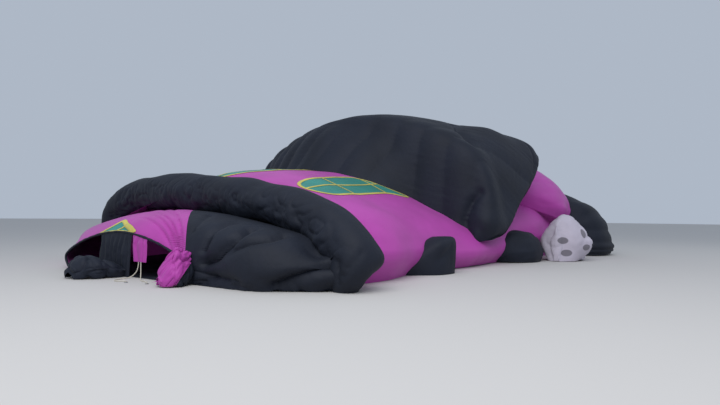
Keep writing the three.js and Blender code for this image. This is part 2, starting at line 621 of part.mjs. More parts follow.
// The brim roll in five lengths, and the small chambers, each one bag that is open towards the balloon.
const brimParts = [
  ['brim_near_end', 0, 5, true, false],
  ['brim_near', 5, 9, false, false],
  ['brim_middle', 9, 13, false, false],
  ['brim_far', 13, 17, false, false],
  ['brim_far_end', 17, 22, false, true],
];
for (const [name, i0, i1, closeStart, closeEnd] of brimParts) {
  addWall(name, sleeveOf(chambers.brim, i0, i1, closeStart, closeEnd), black);
}
const hoodEnd = sleeveOf(chambers.hood, 9 * perRow, 10 * perRow, false, true);
addWall('hood_end', trimmed('hood', hoodEnd), black);
const bags = [
  ['near_lobe', pink],
  ['far_lobe', pink],
  ['near_fore_foot', black],
  ['far_fore_foot', black],
  ['near_mid_foot', black],
  ['far_mid_foot', black],
  ['ball', white],
];
for (const [name, look] of bags) {
  addWall(name, trimmed(name, sleeveOf(chambers[name], 0, chambers[name].along, true, true)), look);
}

// The crown's end wall with the hole of the vent, the tapes across it, their ring, and the vent inside.
const [crownEndX] = crownRows[crownRows.length - 1];
const vent = [crownEndX, middle, ventHeight];
const disc = (radius, depth, start, segments = 32) => {
  const geometry = new THREE.CylinderGeometry(radius, radius, depth, segments);
  return solidFrom(geometry.rotateZ(Math.PI / 2).translate(vent[0] + start + depth / 2, vent[1], vent[2]));
};
const crownEnd = sleeveOf(chambers.crown, 4 * perRow, 5 * perRow, false, true);
addWall('crown_end', trimmed('crown', crownEnd).subtract(disc(ventRadius, 8 * wall, -4 * wall)), black);
addSolid('parachute_vent', disc(ventRadius + ventOverlap, wall, -2 * wall - gap), pink);
const ventTapes = [0, 45, 90, 135].map((degrees) => {
  const strip = new THREE.BoxGeometry(tapeThickness, ventTape, 2 * (ventRadius + ventOverlap));
  strip.rotateX(THREE.MathUtils.degToRad(degrees));
  return solidFrom(strip.translate(vent[0] + gap + tapeThickness / 2, vent[1], vent[2]));
});
addSolid('crown_tapes', ventTapes.reduce((sum, strip) => sum.add(strip)), tape);
const ringProfile = (inner, outer, thickness) => [
  [inner, 0], [outer, 0], [outer, thickness], [inner, thickness], [inner, 0],
].map(([r, y]) => new THREE.Vector2(r, y));
const crownRing = new THREE.LatheGeometry(ringProfile(crownRingInner, crownRingOuter, ringThickness), 16);
crownRing.rotateZ(-Math.PI / 2).translate(vent[0] + 2 * gap + tapeThickness, vent[1], vent[2]);
addSolid('crown_ring', solidFrom(crownRing), alloy);

// The rolled hem.
const underground = solidFrom(new THREE.BoxGeometry(40000, 40000, 1000).translate(0, 0, -500));
addWall('mouth_hem', hemPath(hemRadius).subtract(underground), black);

// Curtains hang from the hem, and heaps of slack fabric lie in front of it.
const hemHeight = (y) => {
  const next = mouthRing.findIndex((p, k) => k > 0 && mouthRing[k - 1].y <= y && p.y > y);
  const [from, to] = [mouthRing[next - 1], mouthRing[next]];
  return from.z + ((to.z - from.z) * (y - from.y)) / (to.y - from.y);
};
function curtain(rows, spans) {
  const folds = Array.from({ length: spans + 1 }, (_, k) => k);
  const [[, mouthSkew]] = coneRows;
  const grid = { along: rows.length - 1, around: folds.length, flip: false, points: [], normals: [] };
  rows.forEach(([x, near, far, z], row) => {
    grid.points.push(folds.map((k) => {
      const y = near + ((far - near) * k) / spans;
      const fold = row === 0 ? 0 : (k % 2) * foldDepth;
      return new THREE.Vector3(x + mouthSkew * (y - middle) - fold, y, row === 0 ? hemHeight(y) : z);
    }));
    grid.normals.push(folds.map(() => new THREE.Vector3(-1, 0, 0)));
  });
  return panelOf(grid, 0, grid.along, 0, spans);
}
const blackFolds = 7;
addWall('mouth_pink_curtain', curtain(pinkCurtainRows, 3).subtract(closeHem), pink);
addWall('mouth_black_curtain', curtain(blackCurtainRows, blackFolds).subtract(closeHem), black);
const heap = (rows) => {
  const grid = small(rows);
  return trimmed('heap', sleeveOf(grid, 0, grid.along, true, false)).subtract(overHem);
};
const behind = curtain(blackCurtainRows, blackFolds);
const cleared = (solid, x) => solid.subtract(behind.translate(x, 0, 0));
addWall('mouth_black_heap', [-gap, 0, gap].reduce(cleared, heap(blackHeapRows)), black);
addWall('mouth_pink_heap', heap(pinkHeapRows), pink);

// Flying lines, each with its end ring flat on the ground.
lines.forEach((points, k) => {
  const path = new THREE.CatmullRomCurve3(points.map((p) => new THREE.Vector3(...p)), false, 'catmullrom', 0.5);
  const section = new THREE.Shape(roundCorners(8).map(([u, v]) => new THREE.Vector2(u * lineRadius, v * lineRadius)));
  const tube = new THREE.ExtrudeGeometry(section, { steps: 32, bevelEnabled: false, extrudePath: path });
  addSolid(`flying_line_${k + 1}`, solidFrom(tube), tape);
  const end = path.getPoint(1);
  const away = path.getTangent(1);
  const ring = new THREE.LatheGeometry(ringProfile(ringInner, ringOuter, ringThickness), 16);
  const reach = ringOuter + gap;
  ring.rotateX(Math.PI / 2).translate(end.x + away.x * reach, end.y + away.y * reach, 0);
  addSolid(`flying_line_ring_${k + 1}`, solidFrom(ring), alloy);
});

export default balloon;
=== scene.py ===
"""A special-shape hot air balloon laid on its side and half filled with cold air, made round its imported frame.

The frame's X runs from the mouth to the crown, Y from the near side to the far side and Z up from the ground.
The tables of sections follow the frame's, in millimetres from the drawing's corner, and each fabric piece is a
fine grid laid on them, with the pillows between its seams, its creases and its crumples.
"""

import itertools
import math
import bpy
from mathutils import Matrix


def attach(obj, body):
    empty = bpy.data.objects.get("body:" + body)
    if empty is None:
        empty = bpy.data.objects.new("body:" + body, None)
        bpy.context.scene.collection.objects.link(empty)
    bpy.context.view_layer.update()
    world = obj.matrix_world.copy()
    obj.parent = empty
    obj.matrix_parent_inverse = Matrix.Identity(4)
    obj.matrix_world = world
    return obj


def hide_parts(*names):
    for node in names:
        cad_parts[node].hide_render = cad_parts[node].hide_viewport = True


bl_info = {
    "name": "Laid-out balloon",
    "version": (1, 0, 0),
    "blender": (4, 5, 0),
    "location": "View3D > Sidebar > Balloon",
    "description": "Makes the fabric, lines and stage of a half-filled balloon round its frame",
    "category": "Add Mesh",
}

from functools import cache

import bmesh
import bpy
import numpy as np
from bpy.props import FloatProperty, FloatVectorProperty, IntProperty, PointerProperty
from mathutils import Matrix, Vector
from mathutils.bvhtree import BVHTree

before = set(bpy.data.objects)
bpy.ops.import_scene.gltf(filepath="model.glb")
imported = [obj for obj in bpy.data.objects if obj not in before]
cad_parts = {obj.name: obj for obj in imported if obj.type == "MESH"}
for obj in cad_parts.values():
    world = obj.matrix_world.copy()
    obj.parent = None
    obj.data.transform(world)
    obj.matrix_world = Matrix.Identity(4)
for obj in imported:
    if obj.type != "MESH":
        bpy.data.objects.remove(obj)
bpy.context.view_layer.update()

ENVELOPE = "envelope"
VENT = "vent"
BLACK = "black_fabric"
PINK = "pink_fabric"
GREEN = "green_fabric"
YELLOW = "yellow_tape"
WHITE = "white_fabric"
CORNER = np.array([6.984, 6.4, 0.0])  # the frame's origin, from the drawing's corner
MIDDLE = 6.6  # Y of the plane of symmetry, from the drawing's corner
GROUND = 0.002  # fabric lies this far above the ground
ABOVE = 9.0  # above the whole balloon, and so far under the ground where a window's point found no fabric

# Steps and masks that turn a place on a grid into a number without pattern.
HASH_STEPS = np.array((374761393, 668265263, 2147483629))
HASH_SEED = 1274126177
HASH_BITS = 0xFFFFFFFF

# The columns of a section table, as in the frame: x and its skew, nearest and farthest Y, height of the
# underside, how far the foot lies inside, height of the widest point, how far the shoulder lies inside, and the
# heights of the shoulder and the ridge.
X, SKEW, NEAR, FAR, LOW, TUCK, BELT, INSET, SHOULDER, TOP = range(10)
RING = 8  # points round a section
FAR_FOOT = 6


def table(*rows):
    """A section table in metres. A row of nine values is as wide on the far side as on the near side."""
    full = [(*r[:3], 2000 * MIDDLE - r[2], *r[3:]) if len(r) == 9 else r for r in rows]
    metres = np.array(full, float) / 1000
    metres[:, SKEW] *= 1000
    return metres


def mirrored(rows):
    """The same chamber on the far side."""
    other = rows.copy()
    other[:, SKEW] = -rows[:, SKEW]
    other[:, NEAR] = 2 * MIDDLE - rows[:, FAR]
    other[:, FAR] = 2 * MIDDLE - rows[:, NEAR]
    return other


CONE = table(
    (-2450, -0.15, 3500, 9450, 0, 200, 450, 1250, 960, 1200),
    (-1940, -0.1, 1500, 10500, 0, 250, 550, 1250, 1200, 1600),
    (-1350, -0.1, 500, 11800, 0, 300, 600, 1300, 1270, 1800),
    (-750, -0.1, -50, 12700, 0, 300, 600, 1300, 1200, 1830),
    (100, -0.03, 150, 13050, 0, 300, 600, 1300, 1150, 1780),
)
BODY = table(
    (-250, -0.06, 750, 0, 300, 800, 1300, 1600, 2400),
    (800, 0, 420, 0, 350, 850, 1250, 1850, 3000),
    (2200, 0, 400, 0, 350, 850, 1250, 1950, 3250),
    (3500, 0, 800, 0, 350, 800, 1250, 1950, 3350),
    (4600, 0, 920, 0, 350, 750, 1300, 1925, 3370),
    (5700, 0, 900, 0, 300, 650, 1370, 1880, 3400),
    (7000, 0, 820, 0, 300, 650, 1500, 1800, 3400),
    (8600, 0, 1000, 0, 300, 700, 1500, 1900, 3500),
    (10200, 0, 1050, 0, 300, 900, 1100, 2000, 3700),
    (12000, 0, 900, 0, 300, 1000, 1000, 2200, 4100),
    (13600, 0, 1250, 0, 300, 1100, 1300, 2700, 4200),
    (15300, 0, 1500, 0, 300, 1100, 1300, 2700, 4000),
)
HOOD = table(
    (4300, -0.1, 4900, 9300, 1900, 200, 2100, 800, 2400, 3050),
    (4900, -0.1, 4500, 9950, 1900, 150, 2350, 1000, 3200, 3950),
    (5550, -0.1, 3900, 10900, 1500, 100, 2200, 1100, 3950, 4900),
    (6150, -0.1, 3000, 11850, 980, 100, 1700, 1150, 4150, 5450),
    (6750, -0.1, 650, 12620, 870, 100, 1600, 1200, 4300, 5800),
    (8000, -0.08, 580, 1100, 100, 1800, 1200, 4500, 6030),
    (9200, -0.06, 620, 2080, 100, 2700, 1200, 4750, 6080),
    (10400, -0.05, 700, 2830, 100, 3500, 1200, 4900, 5980),
    (11150, -0.05, 850, 3550, 100, 4050, 1100, 5000, 5850),
    (11650, -0.05, 1200, 3950, 150, 4300, 1000, 4900, 5600),
    (11950, -0.05, 2200, 4200, 200, 4450, 800, 4700, 5150),
)
CROWN = table(
    (14600, 0, 1100, 0, 250, 600, 1300, 2500, 3850),
    (15300, 0, -200, 0, 120, 600, 1200, 2500, 3950),
    (16400, 0, -450, 0, 120, 600, 1300, 2450, 3950),
    (17100, 0, -100, 0, 150, 600, 1300, 2250, 3750),
    (17500, 0, 900, 0, 400, 600, 1400, 2050, 3400),
    (17700, 0, 2300, 100, 500, 700, 1300, 1900, 3000),
)
LOBE = table(
    (11500, -0.1, 2300, 3400, 2300, 200, 2600, 300, 2900, 3100),
    (12200, -0.1, 1500, 3900, 2100, 200, 2650, 400, 3150, 3500),
    (13300, -0.1, 850, 4300, 1750, 250, 2300, 600, 3250, 3900),
    (14300, -0.1, 650, 4400, 1500, 300, 2100, 700, 3200, 4000),
    (14950, -0.1, 900, 4300, 1600, 300, 2100, 600, 3000, 3700),
    (15300, -0.1, 1700, 3900, 1900, 200, 2200, 500, 2800, 3200),
)
# The fore feet are filled tight, so their shoulders are squarer than the frame's.
FORE_FOOT = table(
    (3350, 0, 1050, 1900, 0, 40, 120, 80, 180, 230),
    (3800, 0, 700, 1900, 0, 30, 350, 90, 660, 710),
    (4150, 0, 450, 1900, 0, 30, 500, 50, 930, 960),
    (4600, 0, 400, 1900, 0, 30, 500, 50, 1040, 1065),
    (4880, 0, 430, 1900, 0, 30, 500, 50, 1050, 1075),
)
MID_FOOT = table(
    (8900, 0, 1150, 2000, 0, 120, 350, 200, 550, 620),
    (9200, 0, 750, 2100, 0, 120, 420, 300, 800, 900),
    (10100, 0, 260, 2200, 0, 120, 480, 350, 1050, 1200),
    (11000, 0, 380, 2100, 0, 120, 450, 300, 950, 1100),
    (11350, 0, 750, 2000, 0, 120, 400, 250, 700, 800),
)
BALL = table(
    (11200, -0.3, -250, 200, 0, 120, 700, 150, 1150, 1350),
    (11400, -0.3, -700, 600, 0, 250, 750, 300, 1350, 1650),
    (11950, -0.3, -950, 800, 0, 300, 750, 350, 1450, 1850),
    (12500, -0.3, -850, 900, 0, 350, 700, 400, 1350, 1700),
    (12850, -0.3, -500, 700, 0, 250, 600, 300, 1050, 1300),
    (13000, -0.3, -250, 400, 60, 150, 550, 200, 850, 1000),
)
PINK_HEAP = table(
    (-2750, 0, 3350, 3750, 0, 60, 150, 100, 260, 300),
    (-2600, 0, 3150, 3900, 0, 60, 250, 150, 650, 780),
    (-2350, 0, 3100, 3850, 0, 60, 300, 200, 850, 980),
    (-1950, 0, 3300, 3800, 0, 60, 300, 120, 700, 800),
)
BLACK_HEAP = table(
    (-3702, -0.15, 6200, 6850, 0, 80, 200, 120, 330, 380),
    (-3400, -0.15, 5950, 7100, 0, 100, 280, 250, 560, 640),
    (-3050, -0.15, 5900, 7250, 0, 100, 280, 250, 480, 540),
    (-2560, -0.15, 5950, 7300, 0, 80, 200, 200, 300, 340),
)
# The brim's centre line over the body, mm, and the share of the brim's radius there.
ROLL = np.array((
    (30, 160, 0, 0.5), (60, 70, 330, 0.8), (190, 50, 820, 1), (300, 760, 1300, 1), (300, 1625, 1625, 1),
    (300, 2580, 1880, 1), (270, 3780, 2060, 1), (230, 5470, 2250, 1), (200, 7000, 2380, 1),
    (150, 8800, 2480, 1), (100, 10500, 2450, 1), (20, 12000, 2220, 1), (-40, 12900, 1700, 1),
    (-50, 13200, 900, 1),
    (-70, 13150, 350, 0.8), (-100, 13060, 0, 0.5),
), float) * (0.001, 0.001, 0.001, 1)
ROLL_RADIUS = 0.575
ROLL_HUB = np.array((0.0, MIDDLE, 0.0))

# The seams between the gores of the mouth cone fan out in plan from one corner of the mouth to these points.
FAN_CORNER = np.array((-2.15, 3.45))
STEM_FROM = 1.1  # angle at that corner at which the stem begins
FAN_ENDS = ((1.2, 1.3), (0.9, 3.3), (0.6, 5.6), (0.2, 7.2))

# Windows. An outline is a list of corners or a squareness, 1 for an ellipse and less for a squarer shape.
# Corners and the ends of the bars are shares of the half sizes.
SAIL = (
    (-1.02, 0), (-0.95, 0.5), (-0.68, 0.8), (-0.24, 0.93), (0.2, 1), (0.5, 0.98), (0.66, 0.72), (0.8, 0.15),
    (0.88, -0.5), (0.93, -1.08), (0.48, -0.7), (0, -0.68), (-0.4, -0.76), (-0.78, -0.8), (-0.95, -0.52),
)
OVAL = 0.75
GUSSET = (
    (-0.4, -0.7), (-0.05, -0.6), (0.67, 0.01), (1.6, 0.62), (1.23, 0.86), (0.55, 1.07), (-0.07, 1.3),
    (-0.4, 1.25),
)
# Fabric that carries it, centre in plan, half sizes, turn in degrees, outline, and the ends of the bars.
WINDOWS = (
    ("window_near", "body_skin", (3.85, 3.75), (2.5, 0.9), 15, SAIL,
     ((-0.25, 0.92, -0.43, -0.74), (0.66, 0.72, 0.5, -0.7), (-1.0, 0.1, 0.81, 0.1))),
    ("window_far", "body_skin", (2.6, 6.85), (2.1, 1.05), 6, OVAL,
     ((-0.1, 1.0, -0.1, -1.0), (0.5, 0.94, 0.5, -0.94), (-1.0, 0.0, 1.0, 0.0))),
    ("window_mouth", "mouth_stem_skin", (-2.381, 6.554), (0.2, 0.8), 8.5, GUSSET, ((-0.4, 0.26, 0.7, 0.05),)),
)
FRAME_TAPE = 0.11
BAR_TAPE = 0.08
TAPE_THICKNESS = 0.004
WINDOW_STEPS = 180
BAR_STEPS = 64

# Curtains from the mouth's hem, from the top down: x at the middle, near Y, far Y and height. The first row
# runs along the hem.
PINK_CURTAIN = ((-2.505, 5.15, 5.82, 0), (-2.505, 5.17, 5.81, 0.85), (-2.479, 5.23, 5.79, 0.43))
BLACK_CURTAIN = ((-2.505, 5.86, 7.4, 0), (-2.53, 5.86, 7.38, 0.8), (-2.56, 5.85, 7.36, 0.4),
                 (-2.57, 5.85, 7.34, 0.01))
CURTAIN_FOLD = 0.04  # depth of a curtain's folds
CURTAIN_SLACK = 1.1  # width of a curtain before it hung in folds, as a share of its width along the hem
HEAP_WIDTH = 1.6  # width of the slack fabric in a heap, before it was gathered

# Where the heap's pink fabric ends and the black gore beside it begins.
BUNCH_EDGE = (-2.375, 2.992, 0.345)
BUNCH_FACING = (-0.725, 0.438, 0.531)

# Darker ovals on the ball, two sewn patches and two of painted shade: middle and reach along each axis,
# and how much of the light they give back.
PATCHES_AND_SHADE = (
    ((11.29, -0.21, 0.81), (0.21, 0.21, 0.13)), ((11.39, -0.32, 0.34), (0.21, 0.21, 0.13)),
    # These two are painted shade: dark folds where the ball is gathered at its aft end.
    ((11.96, -0.76, 1.1), (0.14, 0.14, 0.2)), ((12.0, -0.86, 0.55), (0.2, 0.2, 0.12)),
)
PATCH_SHADE = 0.36

LINE_LOW = 0.015  # height of a flying line's middle where it lies on the ground
LINES = (
    ((-2.324, 5.603, 0.4299), (-2.324, 5.603, 0.34), (-2.35, 5.612, 0.205), (-2.43, 5.625, 0.09),
     (-2.54, 5.635, 0.03), (-2.66, 5.635, LINE_LOW), (-2.79, 5.6, LINE_LOW), (-2.905, 5.53, LINE_LOW),
     (-2.99, 5.43, LINE_LOW), (-3.02, 5.31, LINE_LOW), (-2.985, 5.2, LINE_LOW), (-2.9, 5.13, LINE_LOW),
     (-2.86, 5.03, LINE_LOW), (-2.9, 4.93, LINE_LOW)),
    ((-2.336, 5.417, 0.4299), (-2.336, 5.417, 0.35), (-2.35, 5.38, 0.2), (-2.39, 5.29, 0.085),
     (-2.45, 5.16, 0.028), (-2.51, 5.0, LINE_LOW), (-2.55, 4.82, LINE_LOW), (-2.545, 4.64, LINE_LOW),
     (-2.585, 4.47, LINE_LOW), (-2.647, 4.32, LINE_LOW)),
)

RIB = 0.96  # metres between the hood's seams
PUCKER = 0.11  # metres from one pucker at a seam to the next

VENT_CENTRE = np.array((17.7, MIDDLE, 1.45))
VENT_HOLE = 1.05
VENT_RADIUS = 1.2
VENT_GORES = 24  # pillows round the crown's end wall and the vent

# What gives each kind of chamber its relief.
# Sewn creases: depth, width and the height of the puckers in metres, and the points that each follows.
CREASE_SEED = 50
CREASES = {
    "cone": (
        (0.06, 0.08, 0.004, ((-0.96, 4.32, 1.7), (-1.29, 4.0, 1.61), (-1.59, 3.77, 1.47), (-1.81, 3.72, 1.28))),
        (0.13, 0.1, 0.005, ((-1.0, 3.05, 1.55), (-1.28, 3.09, 1.46), (-1.56, 3.07, 1.34), (-1.74, 3.06, 1.13),
                            (-1.84, 3.12, 0.85))),
        (0.26, 0.12, 0.006, ((-1.06, 2.3, 1.35), (-1.33, 2.22, 1.24), (-1.51, 2.26, 1.13), (-1.61, 2.35, 1.01),
                             (-1.68, 2.45, 0.9), (-1.78, 2.67, 0.66), (-1.84, 2.88, 0.58),
                             (-1.89, 3.09, 0.52))),
        (0.17, 0.1, 0.006, ((-0.72, 1.46, 1.23), (-1.06, 1.49, 1.12), (-1.23, 1.6, 1.08), (-1.38, 1.77, 1.03),
                            (-1.54, 2.0, 0.94), (-1.62, 2.2, 0.86))),
        (0.24, 0.12, 0.015, ((-0.45, 0.16, 0.59), (-0.62, 0.29, 0.52), (-0.75, 0.43, 0.46), (-0.91, 0.64, 0.35),
                             (-1.04, 0.82, 0.27), (-1.2, 1.11, 0.13))),
        (0.13, 0.09, 0.012, ((-1.97, 3.37, 0.34), (-1.91, 3.14, 0.3), (-1.86, 2.92, 0.25), (-1.74, 2.45, 0.22),
                             (-1.68, 2.18, 0.21))),
        (0.1, 0.08, 0.02, ((-1.91, 3.23, 0.02), (-1.86, 2.96, 0.16), (-1.8, 2.66, 0.25))),
        (0.08, 0.06, 0.02, ((-1.64, 2.02, 0.25), (-1.6, 1.89, 0.19), (-1.62, 2.02, 0.09))),
    ),
    "hood": (
        (0.17, 0.16, 0.012, ((9.6, 3.6, 5.6), (8.98, 3.08, 5.29), (8.5, 2.72, 5.06), (8.34, 2.4, 4.87),
                             (8.1, 2.0, 4.62), (7.91, 1.59, 4.34))),
        (0.07, 0.3, 0.012, ((7.91, 1.59, 4.34), (8.63, 1.31, 4.1), (9.36, 0.9, 3.58), (10.31, 0.6, 2.99))),
        (0.2, 0.12, 0, ((7.3, 1.0, 2.5), (7.11, 1.25, 2.16), (7.06, 1.37, 1.88), (7.03, 1.45, 1.57),
                        (7.02, 1.43, 1.26), (7.09, 1.23, 1.04))),
        (0.06, 0.07, 0.004, ((11.35, 1.3, 4.7), (11.27, 1.04, 4.42), (11.21, 0.89, 4.12), (11.02, 0.74, 3.73),
                             (10.72, 0.67, 3.43))),
    ),
    "crown": (
        (0.08, 0.08, 0.006, ((15.0, 0.45, 1.6), (15.38, 0.18, 1.89), (16.0, 0.1, 2.15))),
    ),
    "brim": (
        (0.13, 0.12, 0.05, ((-0.4, 0.05, 0.65), (-0.42, 0.05, 0.1))),
        (0.05, 0.08, 0.02, ((-0.1, -0.45, 0.9), (-0.3, -0.2, 0.55), (-0.4, 0.05, 0.3))),
    ),
    "fore_foot": (
        (0.05, 0.07, 0.006, ((4.61, 0.42, 0.8), (4.05, 0.42, 0.39), (3.7, 0.5, 0.24))),
    ),
}
# Places where the fabric stands out, or lies in where the height is negative: height, radius and middle.
BULGES = {
    "cone": ((0.16, 0.75, (-1.35, 1.8, 0.62)), (-0.3, 0.45, (-0.42, 0.65, 1.02)),
             (-0.1, 0.3, (-0.45, 0.2, 0.65))),
    "hood": ((0.2, 0.8, (10.1, 2.3, 5.15)), (-0.12, 0.6, (6.75, 0.65, 3.0)), (0.14, 0.4, (7.24, 0.82, 1.51)),
             (-0.14, 0.45, (7.8, 0.45, 1.0)), (0.22, 0.26, (7.1, 1.2, 0.98))),
    "lobe": ((-0.15, 0.5, (14.6, 0.63, 2.03)),),
    "brim": ((0.13, 0.28, (0.56, -0.42, 0.7)), (-0.09, 0.3, (0.5, -0.3, 0.25)),
             (0.13, 0.4, (-0.15, 0.75, 0.95)), (0.07, 0.7, (-0.25, 7.4, 1.9)),
             (0.07, 0.7, (-0.25, 8.3, 1.95)), (0.07, 0.7, (-0.25, 9.2, 1.95))),
    "pink_heap": ((-0.16, 0.35, (-2.77, 3.6, 0.7)), (-0.08, 0.2, (-2.55, 3.2, 0.1))),
}
# Soft lumps, and sharp folds that lie in: height, size and seed. A size may differ along each axis.
LUMPS = {
    "body": ((0.012, 2.2, 5), (0.003, 0.2, 7)),
    "hood": ((0.035, 2.2, 9),),
    "crown": ((0.04, 1.5, 11), (0.008, 0.25, 12)),
    "lobe": ((0.04, 1.1, 13), (0.004, 0.15, 15)),
    "fore_foot": ((0.012, 0.5, 16), (0.004, 0.12, 18)),
    "mid_foot": ((0.04, 0.6, 16), (0.006, 0.12, 18)),
    "pink_heap": ((0.05, 0.45, 23),),
}
FOLDS = {
    "lobe": ((-0.03, (1.2, 0.5, 0.5), 14),),
    "mid_foot": ((-0.05, (0.9, 0.5, 0.4), 17),),
    "black_heap": ((-0.08, (0.45, 0.35, 0.5), 24), (-0.03, 0.2, 25)),
}

# Each chamber: its sections, the depths of its end domes and its kind.
CHAMBERS = {
    "cone": (CONE, (0, 0), "cone"),
    "body": (BODY, (0, 0), "body"),
    "hood": (HOOD, (0, 0.12), "hood"),
    "crown": (CROWN, (0, 0), "crown"),
    "ball": (BALL, (0.12, 0.1), "ball"),
    "pink_heap": (PINK_HEAP, (0.05, 0), "pink_heap"),
    "black_heap": (BLACK_HEAP, (0.08, 0), "black_heap"),
}
for kind, rows, domes in (("lobe", LOBE, (0.1, 0.2)), ("fore_foot", FORE_FOOT, (0.02, 0.05)),
                          ("mid_foot", MID_FOOT, (0.15, 0.15))):
    CHAMBERS[f"near_{kind}"] = (rows, domes, kind)
    CHAMBERS[f"far_{kind}"] = (mirrored(rows), domes, kind)

# Ripstop threads are 5 to 8 mm apart; they are drawn 60 mm apart so that they show from the camera. Their depth
# is a share of the puckers' height.
THREAD_STEP = 0.06
THREAD_DEPTH = -0.02
# Fabrics by slot: name, colour, roughness and puckers, and where they differ from most also their difference of
# shade, specular level, sheen, and darker ovals that are sewn patches and painted shade.
FABRICS = {
    BLACK: ("black_ripstop_nylon", "black", 0.68, 0.6, 0.15, 0.34, 0.01),
    PINK: ("pink_ripstop_nylon", "pink", 0.5, 0.12, 0.06),
    GREEN: ("green_ripstop_nylon", "green", 0.5, 0.15),
    YELLOW: ("yellow_sewn_tape", "yellow", 0.6, 0.1),
    WHITE: ("white_ripstop_nylon", "white", 0.5, 0.3, 0.12, 0.3, 0.08, PATCHES_AND_SHADE),
}

# The photographer's eye, from the drawing's corner, and where the camera looks in plan, with its pitch and roll.
CAMERA_AT = (-7.9, -7.8, 1.7)
CAMERA_AHEAD = (0.724, 0.69)
CAMERA_PITCH = math.radians(1.496)
CAMERA_ROLL = math.radians(0.487)
FLOOR_RADIUS = 160
# Lights: power in watts, size in metres and place.
LIGHTS = (("key", 3800.0, 22.0, (-16, -12, 18)), ("fill", 300.0, 18.0, (14, -16, 14)))


def smooth(a, b, c, d, t):
    """A smooth curve that runs from b to c as t goes from 0 to 1, with a before them and d after them."""
    return 0.5 * (2 * b + (c - a) * t + (2 * a - 5 * b + 4 * c - d) * t**2 + (3 * b - a - 3 * c + d) * t**3)


def smooth_line(rows, at):
    """Points at fractional row numbers, on a smooth curve that runs straight on past its ends."""
    rows = np.vstack((2 * rows[0] - rows[1], rows, 2 * rows[-1] - rows[-2]))
    i = np.clip(at.astype(int), 0, len(rows) - 4)
    return smooth(*(rows[i + k] for k in range(4)), (at - i)[:, None])


def section(rows, along):
    """Section values at fractional row numbers, on a smooth curve through the rows."""
    last = len(rows) - 1
    i = np.clip(np.floor(along).astype(int), 0, last - 1)
    return smooth(*(rows[np.clip(i + k, 0, last)] for k in (-1, 0, 1, 2)), (along - i)[:, None])


def place(rows, domes, along, around):
    """Points of a chamber. Past its first and last row the wall closes in a dome of the given depths."""
    inside = np.clip(along, 0, len(rows) - 1)
    s = section(rows, inside)
    mid = (s[:, NEAR] + s[:, FAR]) / 2
    foot, belt, shoulder = s[:, TUCK], 0 * mid, s[:, INSET]
    ys = np.stack((s[:, NEAR] + foot, s[:, NEAR] + belt, s[:, NEAR] + shoulder, mid,
                   s[:, FAR] - shoulder, s[:, FAR] - belt, s[:, FAR] - foot, mid), 1)
    zs = np.stack([s[:, k] for k in (LOW, BELT, SHOULDER, TOP, SHOULDER, BELT, LOW, LOW)], 1)
    around = around % RING
    j = np.floor(around).astype(int)
    t = around - j
    pick = np.arange(len(j))
    yz = []
    for ring in (ys, zs):
        curve = smooth(*(ring[pick, np.clip(j + k, 0, FAR_FOOT)] for k in (-1, 0, 1, 2)), t)
        flat = ring[pick, j] + (ring[pick, (j + 1) % RING] - ring[pick, j]) * t
        yz.append(np.where(j < FAR_FOOT, curve, flat))
    y, z = yz[0], np.maximum(yz[1], s[:, LOW])
    points = np.stack((s[:, X] + s[:, SKEW] * (y - mid), y, z), 1)
    over = along - inside
    angle = np.abs(over) * math.pi / 2
    centre = np.stack((s[:, X], mid, zs.mean(1)), 1)
    points = centre + (points - centre) * np.cos(angle)[:, None]
    points[:, 0] += np.where(over < 0, -domes[0], domes[1]) * np.sin(angle)
    return points


def unit(vectors):
    return vectors / np.maximum(np.linalg.norm(vectors, axis=-1, keepdims=True), 1e-9)


def above_ground(points):
    points[:, 2] = np.maximum(points[:, 2], GROUND)
    return points


def noise(points, size, seed):
    """Smooth noise from -1 to 1 whose lumps are that many units across. Size may differ along each axis."""
    q = points / np.asarray(size, float)
    cell = np.floor(q).astype(np.int64)
    share = q - cell
    share = share * share * (3 - 2 * share)
    total = np.zeros(len(points))
    for corner in itertools.product((0, 1), repeat=3):
        h = ((cell + corner) @ HASH_STEPS + seed * HASH_SEED) & HASH_BITS
        h = ((h ^ (h >> 13)) * HASH_SEED) & HASH_BITS
        value = ((h ^ (h >> 16)) & 0xFFFF) / 32767.5 - 1
        total += value * np.prod(np.where(corner, share, 1 - share), axis=1)
    return total


def folds(points, size, seed):
    """Sharp folds: 1 on a fold and 0 away from one."""
    return (1 - np.abs(noise(points, size, seed))) ** 3


def gathers(across, away, reach, seed):
    """Small puckers that run out from a seam: 1 across each, and fading with the distance from the seam."""
    wander = across + 0.5 * noise(np.stack((across, 2 * away / reach, 0 * away), 1), 1.7, seed)
    ripple = noise(np.stack((wander, away / reach, 0 * away), 1), 1, seed + 1)
    return ripple * np.exp(-away / reach)


def crease(points, line, depth, width, puckers, seed):
    """A sewn crease along a line: how far in it pulls the fabric, with the puckers along it."""
    line = np.array(line)
    away = np.full(len(points), np.inf)
    along = np.zeros(len(points))
    passed = 0
    for a, b in zip(line, line[1:]):
        step = b - a
        length = math.sqrt(step @ step)
        t = np.clip(((points - a) @ step) / length**2, 0, 1)
        distance = np.linalg.norm(points - a - t[:, None] * step, axis=1)
        along = np.where(distance < away, passed + t * length, along)
        away = np.minimum(away, distance)
        passed += length
    # A round valley with a sharp line at its bottom.
    valley = 0.6 * np.exp(-(away / width) ** 2 / 2) + 0.4 * np.exp(-3 * away / width)
    return puckers * gathers(along / PUCKER, away, 2 * width, seed) - depth * valley


def shaped(kind, points):
    """How far the creases, bulges, lumps and folds of a kind of chamber move its fabric out."""
    total = np.zeros(len(points))
    for seed, (depth, width, puckers, line) in enumerate(CREASES.get(kind, ()), CREASE_SEED):
        total += crease(points, line, depth, width, puckers, seed)
    for height, radius, middle in BULGES.get(kind, ()):
        total += height * np.exp(-np.sum((points - middle) ** 2, axis=1) / radius**2)
    for pattern, layers in ((noise, LUMPS), (folds, FOLDS)):
        for height, size, seed in layers.get(kind, ()):
            total += height * pattern(points, size, seed)
    return total


